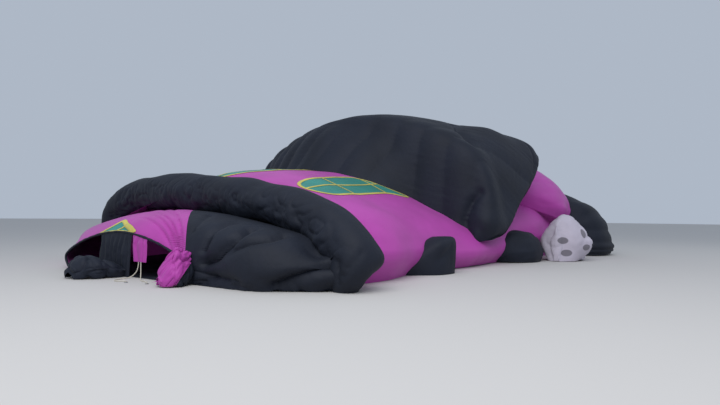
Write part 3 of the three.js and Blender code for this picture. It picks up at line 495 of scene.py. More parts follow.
def pillow(phase, depth):
    """The fabric between seams at whole phases: pulled in by the depth at a seam, in a sharp valley."""
    return -depth * (1 - np.abs(np.sin(math.pi * phase)))


def near_ground(points, height):
    """1 on the ground, and 0 from that height up."""
    return np.clip(1 - points[:, 2] / height, 0, 1)


def cone_relief(form, p, along, around):
    """Folds that run over the stem to the near corner of the mouth, and fabric that slumps on the ground."""
    aside = p[:, :2] - FAN_CORNER
    side = np.arctan2(aside[:, 1], aside[:, 0])
    reach = np.hypot(aside[:, 0], aside[:, 1])
    stem = np.clip((side - STEM_FROM) / 0.1, 0, 1)
    pucker = 0.01 * noise(p, 0.5, 1) + 0.005 * noise(p, 0.14, 2)
    rays = np.stack((side * 13, reach * 0.5, 0 * side), 1)
    pull = 0.08 * folds(rays, 1, 3) * stem * np.clip(1.3 - reach / 3.5, 0, 1)
    slump = 0.05 * near_ground(p, 0.45) * folds(p, (0.9, 0.45, 0.25), 4)
    stiff_rim = 0.3 + 0.7 * np.clip(along * 3, 0, 1)
    return (form + pucker * (1 - 0.7 * stem) - pull - slump) * stiff_rim


def body_relief(form, p, along, around):
    """Faint lengthwise seams, and folds where the body rests on the ground."""
    return form + pillow(around * 2.5, 0.005) - 0.03 * near_ground(p, 0.6) * folds(p, (0.8, 0.8, 0.3), 6)


def hood_relief(form, p, along, around):
    """Curved ribs between seams, which fade towards the top and the aft end, with small puckers at each."""
    phase = (p[:, 1] + 0.35 * (p[:, 0] - 4.8) - 2.03) / RIB
    away = np.abs(phase - np.rint(phase)) * RIB
    puckers = 0.009 * gathers((p[:, 0] + p[:, 2]) / PUCKER, away, 0.3, 8)
    fade = np.clip((5.9 - p[:, 2]) / 1.2, 0.25, 1) * np.clip((9.2 - p[:, 0]) / 2, 0.1, 1)
    return form + pillow(phase, 0.075) * fade + puckers


def crown_relief(form, p, along, around):
    """Pillows between the crown's lengthwise seams, three to each ring point."""
    return form + pillow(around * 3, 0.05)


def ball_relief(form, p, along, around):
    """A slack bag: crumpled all over, and gathered towards its aft end."""
    gathered = np.clip(p[:, 0] - 11.7, 0, 1)
    crumple = (0.03 + 0.13 * gathered) * folds(p, (0.55, 0.55, 0.4), 19)
    return form - crumple - 0.03 * folds(p, 0.25, 20) * (0.4 + gathered)


def running(points, direction, along, across):
    """Places for folds that run in a direction, each so long and so wide."""
    ahead = unit(np.array(direction))
    side = unit(np.cross(ahead, (0.6, 0.7, 0.3)))
    bent = points + 0.12 * noise(points, 0.5, 47)[:, None]
    return np.stack((bent @ ahead / along, bent @ side / across, bent @ np.cross(ahead, side) / across), 1)


def pink_heap_relief(form, p, along, around):
    """Long folds that fall towards the far side and the mouth, with short ones between them."""
    long_folds = folds(running(p, (-0.45, 0.47, -0.75), 0.9, 0.17), 1, 21)
    short_folds = folds(running(p, (-0.3, 0.6, -0.7), 0.4, 0.08), 1, 22)
    return form - 0.09 * long_folds - 0.03 * short_folds


RELIEFS = {"cone": cone_relief, "body": body_relief, "hood": hood_relief, "crown": crown_relief,
           "ball": ball_relief, "pink_heap": pink_heap_relief}


def ends(name):
    """A chamber's first and last row number, one past its rows where it closes in a dome."""
    rows, domes, _ = CHAMBERS[name]
    return (-1 if domes[0] else 0), (len(rows) if domes[1] else len(rows) - 1)


def skin(name, along, around):
    """Points of a chamber's fabric, with its relief, and its outward directions."""
    rows, domes, kind = CHAMBERS[name]
    nudge = 0.03  # in row and ring numbers, to find the fabric's slopes
    lift = [place(rows, domes, np.clip(along + k, *ends(name)), around) for k in (-nudge, nudge)]
    turn = [place(rows, domes, along, around + k) for k in (-nudge, nudge)]
    outward = unit(np.cross(lift[1] - lift[0], turn[1] - turn[0]))
    outward[np.linalg.norm(outward, axis=1) < 0.5] = (1, 0, 0)
    points = place(rows, domes, along, around)
    form = shaped(kind, points)
    if kind in RELIEFS:
        form = RELIEFS[kind](form, points, along, around)
    return above_ground(points + outward * form[:, None]), outward


def roll_line(count):
    """Points at equal steps along the brim's centre line, with the direction, radius and length at each."""
    t = np.linspace(0, len(ROLL) - 1, 60 * len(ROLL))
    fine = smooth_line(ROLL, t)
    fine[:, 3] = np.interp(t, range(len(ROLL)), ROLL[:, 3])
    steps = np.linalg.norm(np.diff(fine[:, :3], axis=0), axis=1)
    length = np.concatenate(([0], np.cumsum(steps)))
    at = np.linspace(0, length[-1], count + 1)
    line = np.stack([np.interp(at, length, fine[:, k]) for k in range(4)], 1)
    return line[:, :3], unit(np.gradient(line[:, :3], axis=0)), line[:, 3] * ROLL_RADIUS, at


def roll_skin(u, v, steps):
    """Points of the brim, from shares along and round it."""
    line, ahead, radius, length = roll_line(steps)
    k = np.rint(u * steps).astype(int)
    # At its two feet the roll stands upright on the ground.
    foot = np.clip(np.minimum(k, steps - k) / (0.04 * steps), 0, 1)[:, None]
    up = np.array((0.0, 0.0, 1.0)) * np.where(k < steps / 2, 1, -1)[:, None]
    tangent = unit(ahead[k] * foot + up * (1 - foot))
    side = unit(np.cross(tangent, line[k] - ROLL_HUB))
    out = unit(np.cross(side, tangent))
    angle = 2 * math.pi * v
    cos, sin = np.cos(angle), np.sin(angle)
    spoke = out * cos[:, None] + side * sin[:, None]
    base = line[k] + spoke * radius[k][:, None]
    at = length[k]
    ring = np.stack((at, cos * ROLL_RADIUS, sin * ROLL_RADIUS), 1)
    drift = 0.2 * noise(ring, (0.6, 0.4, 0.4), 29)
    slanted = ring + np.stack((drift + 0.5 * ring[:, 2], 0 * at, 0 * at), 1)
    # The fabric hangs slack under the roll and at its front, more in some places than in others.
    slack = np.clip(0.35 - 0.6 * cos - 0.6 * sin, 0.05, 1)
    here = np.clip(0.7 + noise(ring, (0.9, 0.5, 0.5), 34), 0.15, 1)
    crumple = (0.035 * noise(ring, (0.34, 0.3, 0.3), 31) - 0.05 * folds(slanted, (0.26, 0.3, 0.3), 32)
               + 0.016 * noise(slanted, (0.1, 0.14, 0.14), 33))
    relief = 0.06 * noise(ring, (1.1, 0.6, 0.6), 30) + slack * here * crumple + shaped("brim", base)
    return above_ground(base + spoke * relief[:, None]), spoke


def closed_volume(points):
    """A closed tree over a grid of points that closes round, with its lowest and highest point.

    Where it touches the ground it is sunk into it, so that fabric on the ground counts as inside."""
    along, around = points.shape[:2]
    points[:, :, 2] -= np.where(points[:, :, 2] < 0.02, 0.4, 0)
    flat = points.reshape(-1, 3)
    verts = [Vector(p) for p in flat]
    index = np.arange(along * around).reshape(along, around)
    after = np.roll(index, -1, 1)
    faces = [tuple(f) for f in np.stack((index[:-1], index[1:], after[1:], after[:-1]), -1).reshape(-1, 4)]
    for ring, turn in ((0, 1), (along - 1, -1)):
        verts.append(Vector(points[ring].mean(0)))
        faces += [(*(a, b)[::turn], len(verts) - 1) for a, b in zip(index[ring], after[ring])]
    return BVHTree.FromPolygons(verts, faces), flat.min(0), flat.max(0)


@cache
def volumes():
    """The volumes that the chambers and the brim fill, made once."""
    made = {}
    around = np.arange(48) / 48 * RING
    for name, (rows, domes, _) in CHAMBERS.items():
        if not name.endswith("heap"):
            along = np.linspace(0, len(rows) - 1, 3 * len(rows) - 2)
            grid = place(rows, domes, np.repeat(along, len(around)), np.tile(around, len(along)))
            made[name] = closed_volume(grid.reshape(len(along), len(around), 3))
    steps = 90
    v = np.arange(24) / 24
    grid, _ = roll_skin(np.repeat(np.arange(steps + 1) / steps, len(v)), np.tile(v, steps + 1), steps)
    made["brim"] = closed_volume(grid.reshape(steps + 1, len(v), 3)[:, ::-1])
    return made


def depth_inside(volume, point):
    """How deep a point lies inside a volume, and 0 outside it."""
    tree, low, high = volume
    if any(point[k] < low[k] or point[k] > high[k] for k in range(3)):
        return 0.0
    near, normal, _, distance = tree.find_nearest(point)
    return distance if (point - near).dot(normal) < 0 else 0.0


def add_grid(bm, cells, shape, size, closed=False):
    """Lays a grid of cells on a shape that turns two shares from 0 to 1 into points and outward directions."""
    uv = bm.loops.layers.uv.verify()
    made = bmesh.ops.create_grid(bm, x_segments=cells[0], y_segments=cells[1], size=0.5)["verts"]
    shares = np.array([v.co[:2] for v in made]) + 0.5
    faces = list({f for v in made for f in v.link_faces})
    for face in faces:
        for loop in face.loops:
            co = loop.vert.co
            loop[uv].uv = ((co.x + 0.5) * size[0], (co.y + 0.5) * size[1])
    points, outward = shape(shares[:, 0], shares[:, 1])
    for vert, point in zip(made, points):
        vert.co = point
    bm.normal_update()
    facing = sum(v.normal.dot(Vector(n)) for v, n in zip(made[::7], outward[::7]))
    if facing < 0:
        bmesh.ops.reverse_faces(bm, faces=faces)
    if closed:
        bmesh.ops.remove_doubles(bm, verts=made, dist=0.0005)


def stretch(name, cells, size, around=(0, FAR_FOOT), reach=None, closed=False):
    """One stretch of a chamber's fabric, cut off where it lies deeper than its reach inside other chambers."""
    first, last = ends(name)
    bm = bmesh.new()
    add_grid(bm, cells,
             lambda u, v: skin(name, first + (last - first) * u, around[0] + (around[1] - around[0]) * v),
             size, closed)
    if reach:
        others = [volume for other, volume in volumes().items() if other != name]
        deep = {v for v in bm.verts if any(depth_inside(volume, v.co) > reach for volume in others)}
        hidden = [f for f in bm.faces if all(v in deep for v in f.verts)]
        bmesh.ops.delete(bm, geom=hidden, context="FACES")
    return bm


def cut_by(bm, point, normal):
    """Keeps the side of a plane that its normal points to."""
    geometry = bm.verts[:] + bm.edges[:] + bm.faces[:]
    bmesh.ops.bisect_plane(bm, geom=geometry, plane_co=point, plane_no=normal, clear_inner=True)


def sewn(bm, name, slot, *nodes, body=ENVELOPE):
    """The object of a finished fabric piece, smooth, riding on its body and standing for its nodes."""
    for face in bm.faces:
        face.smooth = True
    bmesh.ops.translate(bm, verts=bm.verts, vec=-Vector(CORNER))
    mesh = bpy.data.meshes.new(name)
    bm.to_mesh(mesh)
    bm.free()
    piece = bpy.data.objects.new(name, mesh)
    bpy.context.scene.collection.objects.link(piece)
    mesh.materials.append(fabric(slot))
    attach(piece, body)
    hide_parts(*nodes)
    return piece


def linear(hex_colour):
    """An sRGB hex colour as linear red, green and blue."""
    parts = [int(hex_colour[i:i + 2], 16) / 255 for i in (1, 3, 5)]
    return tuple(c / 12.92 if c <= 0.04045 else ((c + 0.055) / 1.055) ** 2.4 for c in parts)


def node(tree, kind, links=(), **values):
    """Adds a node and sets its inputs by links and values. A key with a leading _ is a property."""
    made = tree.nodes.new(kind)
    for key, value in values.items():
        if key.startswith("_"):
            setattr(made, key[1:], value)
        else:
            made.inputs[key.replace("_", " ")].default_value = value
    for source, target in links:
        if isinstance(source, bpy.types.NodeSocket):
            tree.links.new(source, made.inputs[target])
        else:
            made.inputs[target].default_value = source
    return made


def new_material(name, **values):
    """A new material with its tree and shader, and the object's own coordinates, which its patterns follow."""
    material = bpy.data.materials.new(name)
    material.use_nodes = True
    tree = material.node_tree
    shader = tree.nodes["Principled BSDF"]
    for key, value in values.items():
        shader.inputs[key.replace("_", " ")].default_value = value
    return material, tree, shader, node(tree, "ShaderNodeTexCoord").outputs["Object"]


def nylon(name, colour, roughness, pucker, shade=0.12, specular=0.3, sheen=0.08, patches_and_shade=()):
    """Coated ripstop nylon, calendered and so slightly glossy.

    It shows its square ripstop threads, its puckers at the stitching and faint differences of shade between its
    panels. A patch darkens a round spot: some stand for round pieces sewn on, and some are painted shade."""
    material, tree, shader, spot = new_material(
        name, Roughness=roughness, Sheen_Weight=sheen, Sheen_Roughness=0.5, Specular_IOR_Level=specular)
    weave = node(tree, "ShaderNodeTexBrick", [(spot, "Vector")], Scale=1.0, Mortar_Size=0.004,
                 Brick_Width=THREAD_STEP, Row_Height=THREAD_STEP, _offset=0.0)
    clouds = node(tree, "ShaderNodeTexNoise", [(spot, "Vector")], Scale=0.9, Detail=3.0)
    crumple = node(tree, "ShaderNodeTexNoise", [(spot, "Vector")], Scale=7.0, Detail=6.0, Roughness=0.6)
    tone = node(tree, "ShaderNodeValToRGB", [(clouds.outputs["Fac"], "Fac")])
    for element, position, factor in zip(tone.color_ramp.elements, (0.35, 0.65), (1 - shade, 1 + shade)):
        element.position = position
        element.color = (*(min(1, c * factor) for c in colour), 1)
    threads = node(tree, "ShaderNodeMath", [(weave.outputs["Fac"], 0), (THREAD_DEPTH, 1)],
                   _operation="MULTIPLY")
    height = node(tree, "ShaderNodeMath", [(crumple.outputs["Fac"], 0), (threads.outputs[0], 1)],
                  _operation="ADD")
    bump = node(tree, "ShaderNodeBump", [(height.outputs[0], "Height")], Strength=pucker, Distance=0.02)
    dyed_and_shaded = tone.outputs["Color"]
    # Darkened ovals: some are sewn patches and some are painted shade in folds.
    for middle, reach in patches_and_shade:
        aside = node(tree, "ShaderNodeVectorMath", [(spot, 0), (middle - CORNER, 1)], _operation="SUBTRACT")
        shares = node(tree, "ShaderNodeVectorMath", [(aside.outputs[0], 0), (reach, 1)], _operation="DIVIDE")
        far = node(tree, "ShaderNodeVectorMath", [(shares.outputs[0], 0)], _operation="LENGTH")
        dark = node(tree, "ShaderNodeMapRange", [(far.outputs["Value"], "Value")], From_Min=0.95,
                    From_Max=1.05, To_Min=PATCH_SHADE)
        dyed_and_shaded = node(tree, "ShaderNodeVectorMath", [(dyed_and_shaded, 0), (dark.outputs["Result"], "Scale")],
                    _operation="SCALE").outputs[0]
    tree.links.new(dyed_and_shaded, shader.inputs["Base Color"])
    tree.links.new(bump.outputs["Normal"], shader.inputs["Normal"])
    return material


def fabric(slot):
    """The fabric of a slot, made when it is first asked for."""
    name, colour, *finish = FABRICS[slot]
    made = bpy.data.materials.get(name)
    if made is None:
        made = nylon(name, getattr(bpy.context.scene.balloon_colours, colour), *finish)
    return made


def webbing(name):
    """Polyester webbing, woven flat and a little worn: matt, with fine ribs across it."""
    colour = bpy.context.scene.balloon_colours.webbing
    material, tree, shader, spot = new_material(name, Base_Color=(*colour, 1), Roughness=0.85)
    ribs = node(tree, "ShaderNodeTexWave", [(spot, "Vector")], Scale=40.0, Distortion=1.5,
                _bands_direction="Z")
    bump = node(tree, "ShaderNodeBump", [(ribs.outputs["Fac"], "Height")], Strength=0.4, Distance=0.002)
    tree.links.new(bump.outputs["Normal"], shader.inputs["Normal"])
    return material


def forged_alloy():
    """Forged aluminium, tumbled: satin grey with small scratches."""
    material, tree, shader, spot = new_material(
        "forged_aluminium", Base_Color=(*linear("#b8babd"), 1), Metallic=1.0)
    marks = node(tree, "ShaderNodeTexNoise", [(spot, "Vector")], Scale=60.0, Detail=4.0)
    rough = node(tree, "ShaderNodeMapRange", [(marks.outputs["Fac"], "Value")], To_Min=0.25, To_Max=0.45)
    tree.links.new(rough.outputs["Result"], shader.inputs["Roughness"])
    return material


class BalloonSizes(bpy.types.PropertyGroup):
    brim_steps: IntProperty(name="Brim steps", description="Faces along the brim", default=600, min=40)
    line_radius: FloatProperty(name="Line radius", description="Radius of a flying line", default=0.012,
                               unit="LENGTH")
    hem_radius: FloatProperty(name="Hem radius", description="Radius of the rolled hem of the mouth",
                              default=0.03, unit="LENGTH")
    sewn_over: FloatProperty(name="Window lift", description="Height of a window over the fabric",
                             default=0.006, unit="LENGTH")


class BalloonColours(bpy.types.PropertyGroup):
    # Dark like the nylon itself, with a blue tint that is a painted reflection of the sky.
    black: FloatVectorProperty(name="Black", description="Hood, brim, gores and crown", subtype="COLOR",
                               default=linear("#131927"))
    pink: FloatVectorProperty(name="Pink", description="Body, stem and lobes", subtype="COLOR",
                              default=linear("#b341a3"))
    green: FloatVectorProperty(name="Green", description="Window panes", subtype="COLOR",
                               default=linear("#26877b"))
    yellow: FloatVectorProperty(name="Yellow", description="Window tapes", subtype="COLOR",
                                default=linear("#c9bd5c"))
    white: FloatVectorProperty(name="White", description="The ball", subtype="COLOR",
                               default=linear("#c0b8c6"))
    webbing: FloatVectorProperty(name="Webbing", description="Lines and crown tapes", subtype="COLOR",
                                 default=linear("#cfc8ba"))


class BALLOON_OT_lines(bpy.types.Operator):
    """Flying lines that run out over the ground from the pink curtain, each to its end ring"""

    bl_idname = "balloon.lines"
    bl_label = "Flying lines"

    def execute(self, context):
        radius = context.scene.balloon_sizes.line_radius
        braid = webbing("braided_polyester")
        for number, route in enumerate(LINES, 1):
            at = np.linspace(0, len(route) - 1, 12 * (len(route) - 1) + 1)
            points = smooth_line(np.array(route) - CORNER, at)
            name = f"flying_line_{number}"
            curve = bpy.data.curves.new(f"{name}_cord", "CURVE")
            curve.dimensions = "3D"
            curve.bevel_depth = radius
            curve.bevel_resolution = 3
            curve.use_fill_caps = True
            spline = curve.splines.new("POLY")
            spline.points.add(len(points) - 1)
            for spot, point in zip(spline.points, points):
                spot.co = (*point, 1)
            curve.materials.append(braid)
            cord = bpy.data.objects.new(f"{name}_cord", curve)
            context.scene.collection.objects.link(cord)
            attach(cord, ENVELOPE)
            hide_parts(name)
        return {"FINISHED"}


class BALLOON_OT_brim(bpy.types.Operator):
    """The thick black roll over the body, crumpled across its length"""

    bl_idname = "balloon.brim"
    bl_label = "Brim"

    def execute(self, context):
        steps = context.scene.balloon_sizes.brim_steps
        bm = bmesh.new()
        add_grid(bm, (steps, 120), lambda u, v: roll_skin(u, v, steps), (17, 3.6), closed=True)
        sewn(bm, "brim_roll", BLACK, "brim_near_end", "brim_near", "brim_middle", "brim_far", "brim_far_end")
        return {"FINISHED"}


class BALLOON_OT_mouth(bpy.types.Operator):
    """The mouth cone: black gores in a fan, the pink stem, the side on the ground and the rolled hem"""

    bl_idname = "balloon.mouth"
    bl_label = "Mouth cone"

    def execute(self, context):
        start = Vector((*FAN_CORNER, 0))
        whole = stretch("cone", (96, 420), (2.6, 14), reach=0.12)
        for k in range(len(FAN_ENDS) + 1):
            bm = whole.copy()
            for end, keep in ((k - 1, 1), (k, -1)):
                if 0 <= end < len(FAN_ENDS):
                    line = Vector((*FAN_ENDS[end], 0)) - start
                    cut_by(bm, start, Vector((-line.y, line.x, 0)).normalized() * keep)
            if k < len(FAN_ENDS):
                sewn(bm, f"mouth_gore_{k + 1}_skin", BLACK, f"mouth_gore_{k + 1}")
            else:
                sewn(bm, "mouth_stem_skin", PINK, "mouth_stem")
        whole.free()
        sewn(stretch("cone", (16, 40), (2.6, 8), (FAR_FOOT, RING)), "mouth_ground_skin", BLACK, "mouth_floor")
        hem(context.scene.balloon_sizes.hem_radius)
        return {"FINISHED"}


def hem(radius):
    """The rolled hem round the mouth."""
    steps = 240

    def shape(u, v):
        around = np.round(u * steps) / steps * FAR_FOOT
        ring = [place(CONE, (0, 0), 0 * u, np.clip(around + k, 0, FAR_FOOT)) for k in (-0.02, 0, 0.02)]
        ahead = unit(ring[2] - ring[0])
        side = unit(np.cross(ahead, (1.0, 0.0, 0.0)))
        angle = (2 * math.pi * v)[:, None]
        spoke = np.cross(side, ahead) * np.cos(angle) + side * np.sin(angle)
        crumple = 1 + 0.25 * noise(ring[1], 0.12, 40)
        return above_ground(ring[1] - (radius, 0, 0) + spoke * (radius * crumple)[:, None]), spoke

    bm = bmesh.new()
    add_grid(bm, (steps, 12), shape, (8, 0.2), closed=True)
    sewn(bm, "mouth_hem_roll", BLACK, "mouth_hem")


class BALLOON_OT_slack(bpy.types.Operator):
    """Curtains that hang from the hem and heaps of slack fabric in front of the mouth"""

    bl_idname = "balloon.slack"
    bl_label = "Curtains and heaps"

    def execute(self, context):
        for name, rows, slot, waves in (("mouth_pink_curtain", PINK_CURTAIN, PINK, 3),
                                        ("mouth_black_curtain", BLACK_CURTAIN, BLACK, 7)):
            width = CURTAIN_SLACK * (rows[0][2] - rows[0][1])
            curtain(name, np.array(rows), slot, waves, width)
        for heap, part, slot, side in (("pink_heap", "folds", PINK, 1), ("pink_heap", "bunch", BLACK, -1),
                                       ("black_heap", "folds", BLACK, 0)):
            bm = stretch(heap, (90, 110), (HEAP_WIDTH, 2.5), reach=0.08)
            if side:
                cut_by(bm, Vector(BUNCH_EDGE), Vector(BUNCH_FACING) * side)
            sewn(bm, f"mouth_{heap}_{part}", slot, f"mouth_{heap}")
        return {"FINISHED"}


def curtain(name, rows, slot, waves, width):
    """A curtain with that many hanging folds, from rows from the top down."""
    around = np.linspace(1, FAR_FOOT - 1, 200)
    rim = place(CONE, (0, 0), 0 * around, around)
    depth = CURTAIN_FOLD / 2

    def shape(u, v):
        at = v * (len(rows) - 1)
        x, near, far, z = (np.interp(at, range(len(rows)), rows[:, k]) for k in range(4))
        y = near + (far - near) * u
        z = np.where(at < 1, rows[1, 3] + (np.interp(y, rim[:, 1], rim[:, 2]) - rows[1, 3]) * (1 - at), z)
        wander = u * waves + 0.35 * noise(np.stack((u * waves, v * 2, 0 * u), 1), 1, 45)
        fold = depth * np.minimum(1, 3 * v) * (np.cos(2 * math.pi * wander) - 1)
        x += fold + CONE[0, SKEW] * (y - MIDDLE) + 0.3 * depth * noise(np.stack((y, z, 0 * y), 1), 0.12, 46)
        return np.stack((x, y, z), 1), np.tile((-1.0, 0.0, 0.0), (len(u), 1))

    bm = bmesh.new()
    add_grid(bm, (20 * waves, 60), shape, (width, 1.2))
    return sewn(bm, f"{name}_cloth", slot, name)


class BALLOON_OT_body(bpy.types.Operator):
    """The pink body, filled smooth, and the black side that it lies on"""

    bl_idname = "balloon.body"
    bl_label = "Body"

    def execute(self, context):
        sewn(stretch("body", (190, 190), (15.6, 15), reach=0.15), "body_skin", PINK, "body_near_side",
             "body_near_top", "body_far_top", "body_far_side", "body_near_waist", "body_far_waist",
             "body_near_aft", "body_far_aft", "body_back")
        sewn(stretch("body", (60, 40), (15.6, 11), (FAR_FOOT, RING)), "body_ground_skin", BLACK, "body_floor")
        return {"FINISHED"}


class BALLOON_OT_hood(bpy.types.Operator):
    """The large black hood with its ribs, its underside and its aft end"""

    bl_idname = "balloon.hood"
    bl_label = "Hood"

    def execute(self, context):
        sewn(stretch("hood", (320, 300), (8, 17), reach=0.15, closed=True), "hood_skin", BLACK, "hood_front",
             "hood_near_flap", "hood_far_flap", "hood_back", "hood_end")
        sewn(stretch("hood", (110, 120), (8, 11), (FAR_FOOT, RING), reach=0.15, closed=True),
             "hood_underside_skin", BLACK, "hood_near_underside", "hood_far_underside")
        return {"FINISHED"}


class BALLOON_OT_sides(bpy.types.Operator):
    """The pink lobes, the black feet and the pale ball on the sides"""

    bl_idname = "balloon.sides"
    bl_label = "Lobes, feet and ball"

    def execute(self, context):
        bags = [(f"{side}_{kind}", slot, cells) for kind, slot, cells in
                (("lobe", PINK, (80, 90)), ("fore_foot", BLACK, (48, 64)), ("mid_foot", BLACK, (56, 64)))
                for side in ("near", "far")]
        for name, slot, cells in (*bags, ("ball", WHITE, (100, 110))):
            sewn(stretch(name, cells, (3, 4), (0, RING), reach=0.1, closed=True), f"{name}_bag", slot, name)
        return {"FINISHED"}


class BALLOON_OT_crown(bpy.types.Operator):
    """The black crown, its end wall round the hole, and the parachute vent behind the hole"""

    bl_idname = "balloon.crown"
    bl_label = "Crown and vent"

    def execute(self, context):
        sewn(stretch("crown", (56, 180), (3.6, 26), (0, RING), reach=0.15, closed=True), "crown_skin", BLACK,
             "crown_near_side", "crown_top", "crown_far_side", "crown_floor")

        def end_wall(u, v):
            rim, _ = skin("crown", np.full(len(u), len(CROWN) - 1.0), v * RING)
            aside = rim - VENT_CENTRE
            hole = disc_points(VENT_HOLE, np.arctan2(aside[:, 2], aside[:, 1]), 0)
            points = hole + (rim - hole) * u[:, None]
            points[:, 0] += (0.08 + pillow(v * VENT_GORES, 0.04)) * np.sin(math.pi * u)
            return points, facing_aft(u)

        def vent(u, v):
            lift = -0.014 - 0.02 * (1 - u) + pillow(v * VENT_GORES, 0.025) * u
            return disc_points(VENT_RADIUS * u, 2 * math.pi * v, lift), facing_aft(u)

        for shape, cells, size, title, slot, node_name, body in (
                (end_wall, (28, 180), (1.6, 12), "crown_end_skin", BLACK, "crown_end", ENVELOPE),
                (vent, (24, 144), (1.2, 7), "parachute_vent_cloth", PINK, "parachute_vent", VENT)):
            bm = bmesh.new()
            add_grid(bm, cells, shape, size, closed=True)
            sewn(bm, title, slot, node_name, body=body)
        return {"FINISHED"}


def disc_points(radius, angle, lift):
    """Points about the middle of the vent, at that radius and angle and so far aft of it."""
    return VENT_CENTRE + np.stack((lift + 0 * angle, radius * np.cos(angle), radius * np.sin(angle)), 1)


def facing_aft(shares):
    return np.tile((1.0, 0.0, 0.0), (len(shares), 1))


class BALLOON_OT_windows(bpy.types.Operator):
    """Windows sewn on the fabric: green panes under a lattice of yellow tape"""

    bl_idname = "balloon.windows"
    bl_label = "Windows"

    def execute(self, context):
        for window in WINDOWS:
            sew_window(*window, context.scene.balloon_sizes.sewn_over)
        return {"FINISHED"}


def sew_window(name, carrier, centre, half, turn, outline, bars, lift):
    """A green pane on the finished fabric that carries it, with the tape round it and the tapes across it."""
    tree = tree_of(carrier)
    curve = window_curve(outline)
    heading = np.arctan2(curve[:, 1], curve[:, 0])
    to_rim = np.linalg.norm(curve, axis=1)

    def pane(u, v):
        a, b = 2 * u - 1, 2 * v - 1
        reach = np.interp(np.arctan2(b, a), heading, to_rim, period=2 * math.pi)
        reach *= np.maximum(np.abs(a), np.abs(b)) / np.maximum(np.hypot(a, b), 1e-6)
        return on_skin(tree, in_plan(centre, half, turn, np.stack((a, b), 1) * reach[:, None]), lift)

    bm = bmesh.new()
    add_grid(bm, (72, 56), pane, (2 * half[0], 2 * half[1]))
    drop_loose(bm)
    sewn(bm, f"{name}_cloth", GREEN, f"{name}_pane")

    bm = bmesh.new()
    lay_tape(bm, tree, in_plan(centre, half, turn, curve), FRAME_TAPE, 3, 2 * lift, closed=True)
    for from_u, from_v, to_u, to_v in bars:
        line = np.linspace((from_u, from_v), (to_u, to_v), BAR_STEPS + 1)
        lay_tape(bm, tree, in_plan(centre, half, turn, line), BAR_TAPE, 2, 2.5 * lift)
    drop_loose(bm)
    piece = sewn(bm, f"{name}_tapes", YELLOW, f"{name}_lattice")
    solid = piece.modifiers.new("tape", "SOLIDIFY")
    solid.thickness = TAPE_THICKNESS
    solid.offset = 1


def lay_tape(bm, tree, line, width, cells, lift, closed=False):
    """Lays a tape along a line of points in plan, with that many cells across."""
    steps = len(line) if closed else len(line) - 1
    ahead = np.roll(line, -1, 0) - np.roll(line, 1, 0) if closed else np.gradient(line, axis=0)
    side = unit(np.stack((-ahead[:, 1], ahead[:, 0]), 1)) * width

    def shape(u, v):
        k = np.rint(u * steps).astype(int) % len(line)
        return on_skin(tree, line[k] + side[k] * (v - 0.5)[:, None], lift)

    length = np.linalg.norm(np.diff(line, axis=0), axis=1).sum()
    add_grid(bm, (steps, cells), shape, (length, width), closed)


def window_curve(outline):
    """Points round a window's outline, in shares of its half sizes."""
    at = np.arange(WINDOW_STEPS) / WINDOW_STEPS
    if isinstance(outline, float):
        angle = at * 2 * math.pi
        pair = np.stack((np.cos(angle), np.sin(angle)), 1)
        return np.sign(pair) * np.abs(pair) ** outline
    corners = np.array(outline)
    at = at * len(corners)
    i = at.astype(int)
    return smooth(*(corners[(i + k) % len(corners)] for k in (-1, 0, 1, 2)), (at - i)[:, None])


def in_plan(centre, half, degrees, shares):
    """Points in plan, from shares of a window's half sizes."""
    cos, sin = math.cos(math.radians(degrees)), math.sin(math.radians(degrees))
    return centre + shares * half @ np.array(((cos, sin), (-sin, cos)))


def tree_of(name):
    """A tree over a finished piece, in the drawing's own place."""
    mesh = bpy.data.objects[name].data
    verts = [v.co + Vector(CORNER) for v in mesh.vertices]
    return BVHTree.FromPolygons(verts, [tuple(polygon.vertices) for polygon in mesh.polygons])


def on_skin(tree, plan, lift):
    """Points on the fabric under points in plan, lifted off it, with the fabric's outward directions."""
    points, outward = [], []
    for x, y in plan:
        hit, normal, _, _ = tree.ray_cast(Vector((x, y, ABOVE)), Vector((0, 0, -1)))
        missed = hit is None
        points.append((x, y, -ABOVE) if missed else hit + normal * lift)
        outward.append((0, 0, 1) if missed else normal)
    return np.array(points, float), np.array(outward, float)


def drop_loose(bm):
    """Takes away the points that found no fabric under them."""
    lost = [v for v in bm.verts if v.co.z < -ABOVE / 2]
    bmesh.ops.delete(bm, geom=lost, context="VERTS")


class BALLOON_OT_fittings(bpy.types.Operator):
    """The crown's webbing and the rings, which keep their frame's shape and get their finish"""

    bl_idname = "balloon.fittings"
    bl_label = "Fittings"

    def execute(self, context):
        alloy = forged_alloy()
        finishes = {"crown_tapes": webbing("flat_polyester_webbing"), "crown_ring": alloy,
                    "flying_line_ring_1": alloy, "flying_line_ring_2": alloy}
        for name, material in finishes.items():
            bpy.data.objects[name].data.materials.clear()
            bpy.data.objects[name].data.materials.append(material)
        return {"FINISHED"}


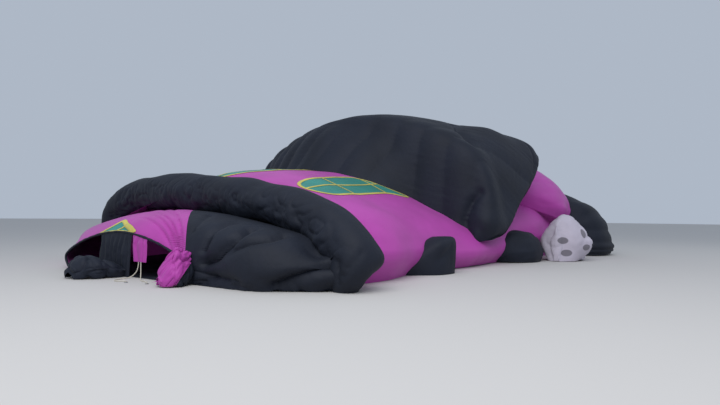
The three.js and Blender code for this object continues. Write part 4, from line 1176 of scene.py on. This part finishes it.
class BALLOON_OT_stage(bpy.types.Operator):
    """A pale floor, soft light and the camera where the photographer stood"""

    bl_idname = "balloon.stage"
    bl_label = "Stage"

    def execute(self, context):
        scene = context.scene
        set_camera(scene)
        bm = bmesh.new()
        bmesh.ops.create_circle(bm, cap_ends=True, segments=96, radius=FLOOR_RADIUS)
        mesh = bpy.data.meshes.new("floor")
        bm.to_mesh(mesh)
        bm.free()
        mesh.materials.append(new_material("pale_floor", Base_Color=(*linear("#c9c6c3"), 1), Roughness=0.9)[0])
        floor = bpy.data.objects.new("floor", mesh)
        scene.collection.objects.link(floor)

        scene.world = bpy.data.worlds.new("sky")
        scene.world.use_nodes = True
        sky = scene.world.node_tree.nodes["Background"].inputs
        sky["Color"].default_value = (*linear("#d3dff0"), 1)
        sky["Strength"].default_value = 0.65
        for name, energy, size, spot in LIGHTS:
            light = bpy.data.objects.new(name, bpy.data.lights.new(name, "AREA"))
            light.data.energy = energy
            light.data.size = size
            light.location = spot
            light.rotation_euler = (-Vector(spot)).to_track_quat("-Z", "Y").to_euler()
            scene.collection.objects.link(light)
        scene.view_settings.view_transform = "Standard"
        return {"FINISHED"}


def set_camera(scene):
    """The camera at the photographer's eye, looking a little up and held a little askew."""
    ahead = Vector((*CAMERA_AHEAD, 0)).normalized()
    right = Vector((ahead.y, -ahead.x, 0))
    look = ahead * math.cos(CAMERA_PITCH) + Vector((0, 0, math.sin(CAMERA_PITCH)))
    up = right.cross(look)
    cos, sin = math.cos(CAMERA_ROLL), math.sin(CAMERA_ROLL)
    turn = Matrix((right * cos + up * sin, up * cos - right * sin, -look)).transposed()
    camera = bpy.data.objects.new("camera", bpy.data.cameras.new("camera"))
    camera.data.lens = 25.0
    camera.data.sensor_width = 36.0
    camera.data.clip_end = 500
    camera.matrix_world = Matrix.Translation(Vector(CAMERA_AT) - Vector(CORNER)) @ turn.to_4x4()
    scene.collection.objects.link(camera)
    scene.camera = camera


class BALLOON_PT_panel(bpy.types.Panel):
    bl_label = "Laid-out balloon"
    bl_idname = "BALLOON_PT_panel"
    bl_space_type = "VIEW_3D"
    bl_region_type = "UI"
    bl_category = "Balloon"

    def draw(self, context):
        for group in (context.scene.balloon_sizes, context.scene.balloon_colours):
            for name in group.__annotations__:
                self.layout.prop(group, name)
        for operator in OPERATORS:
            self.layout.operator(operator.bl_idname)


OPERATORS = (
    BALLOON_OT_stage, BALLOON_OT_lines, BALLOON_OT_brim, BALLOON_OT_mouth, BALLOON_OT_slack, BALLOON_OT_body,
    BALLOON_OT_hood, BALLOON_OT_sides, BALLOON_OT_crown, BALLOON_OT_windows, BALLOON_OT_fittings,
)
CLASSES = (BalloonSizes, BalloonColours, *OPERATORS, BALLOON_PT_panel)


def register():
    for cls in CLASSES:
        bpy.utils.register_class(cls)
    bpy.types.Scene.balloon_sizes = PointerProperty(type=BalloonSizes)
    bpy.types.Scene.balloon_colours = PointerProperty(type=BalloonColours)


def unregister():
    del bpy.types.Scene.balloon_colours
    del bpy.types.Scene.balloon_sizes
    for cls in reversed(CLASSES):
        bpy.utils.unregister_class(cls)


def main():
    register()
    for operator in OPERATORS:
        group, name = operator.bl_idname.split(".")
        getattr(getattr(bpy.ops, group), name)()


if __name__ == "__main__":
    main()
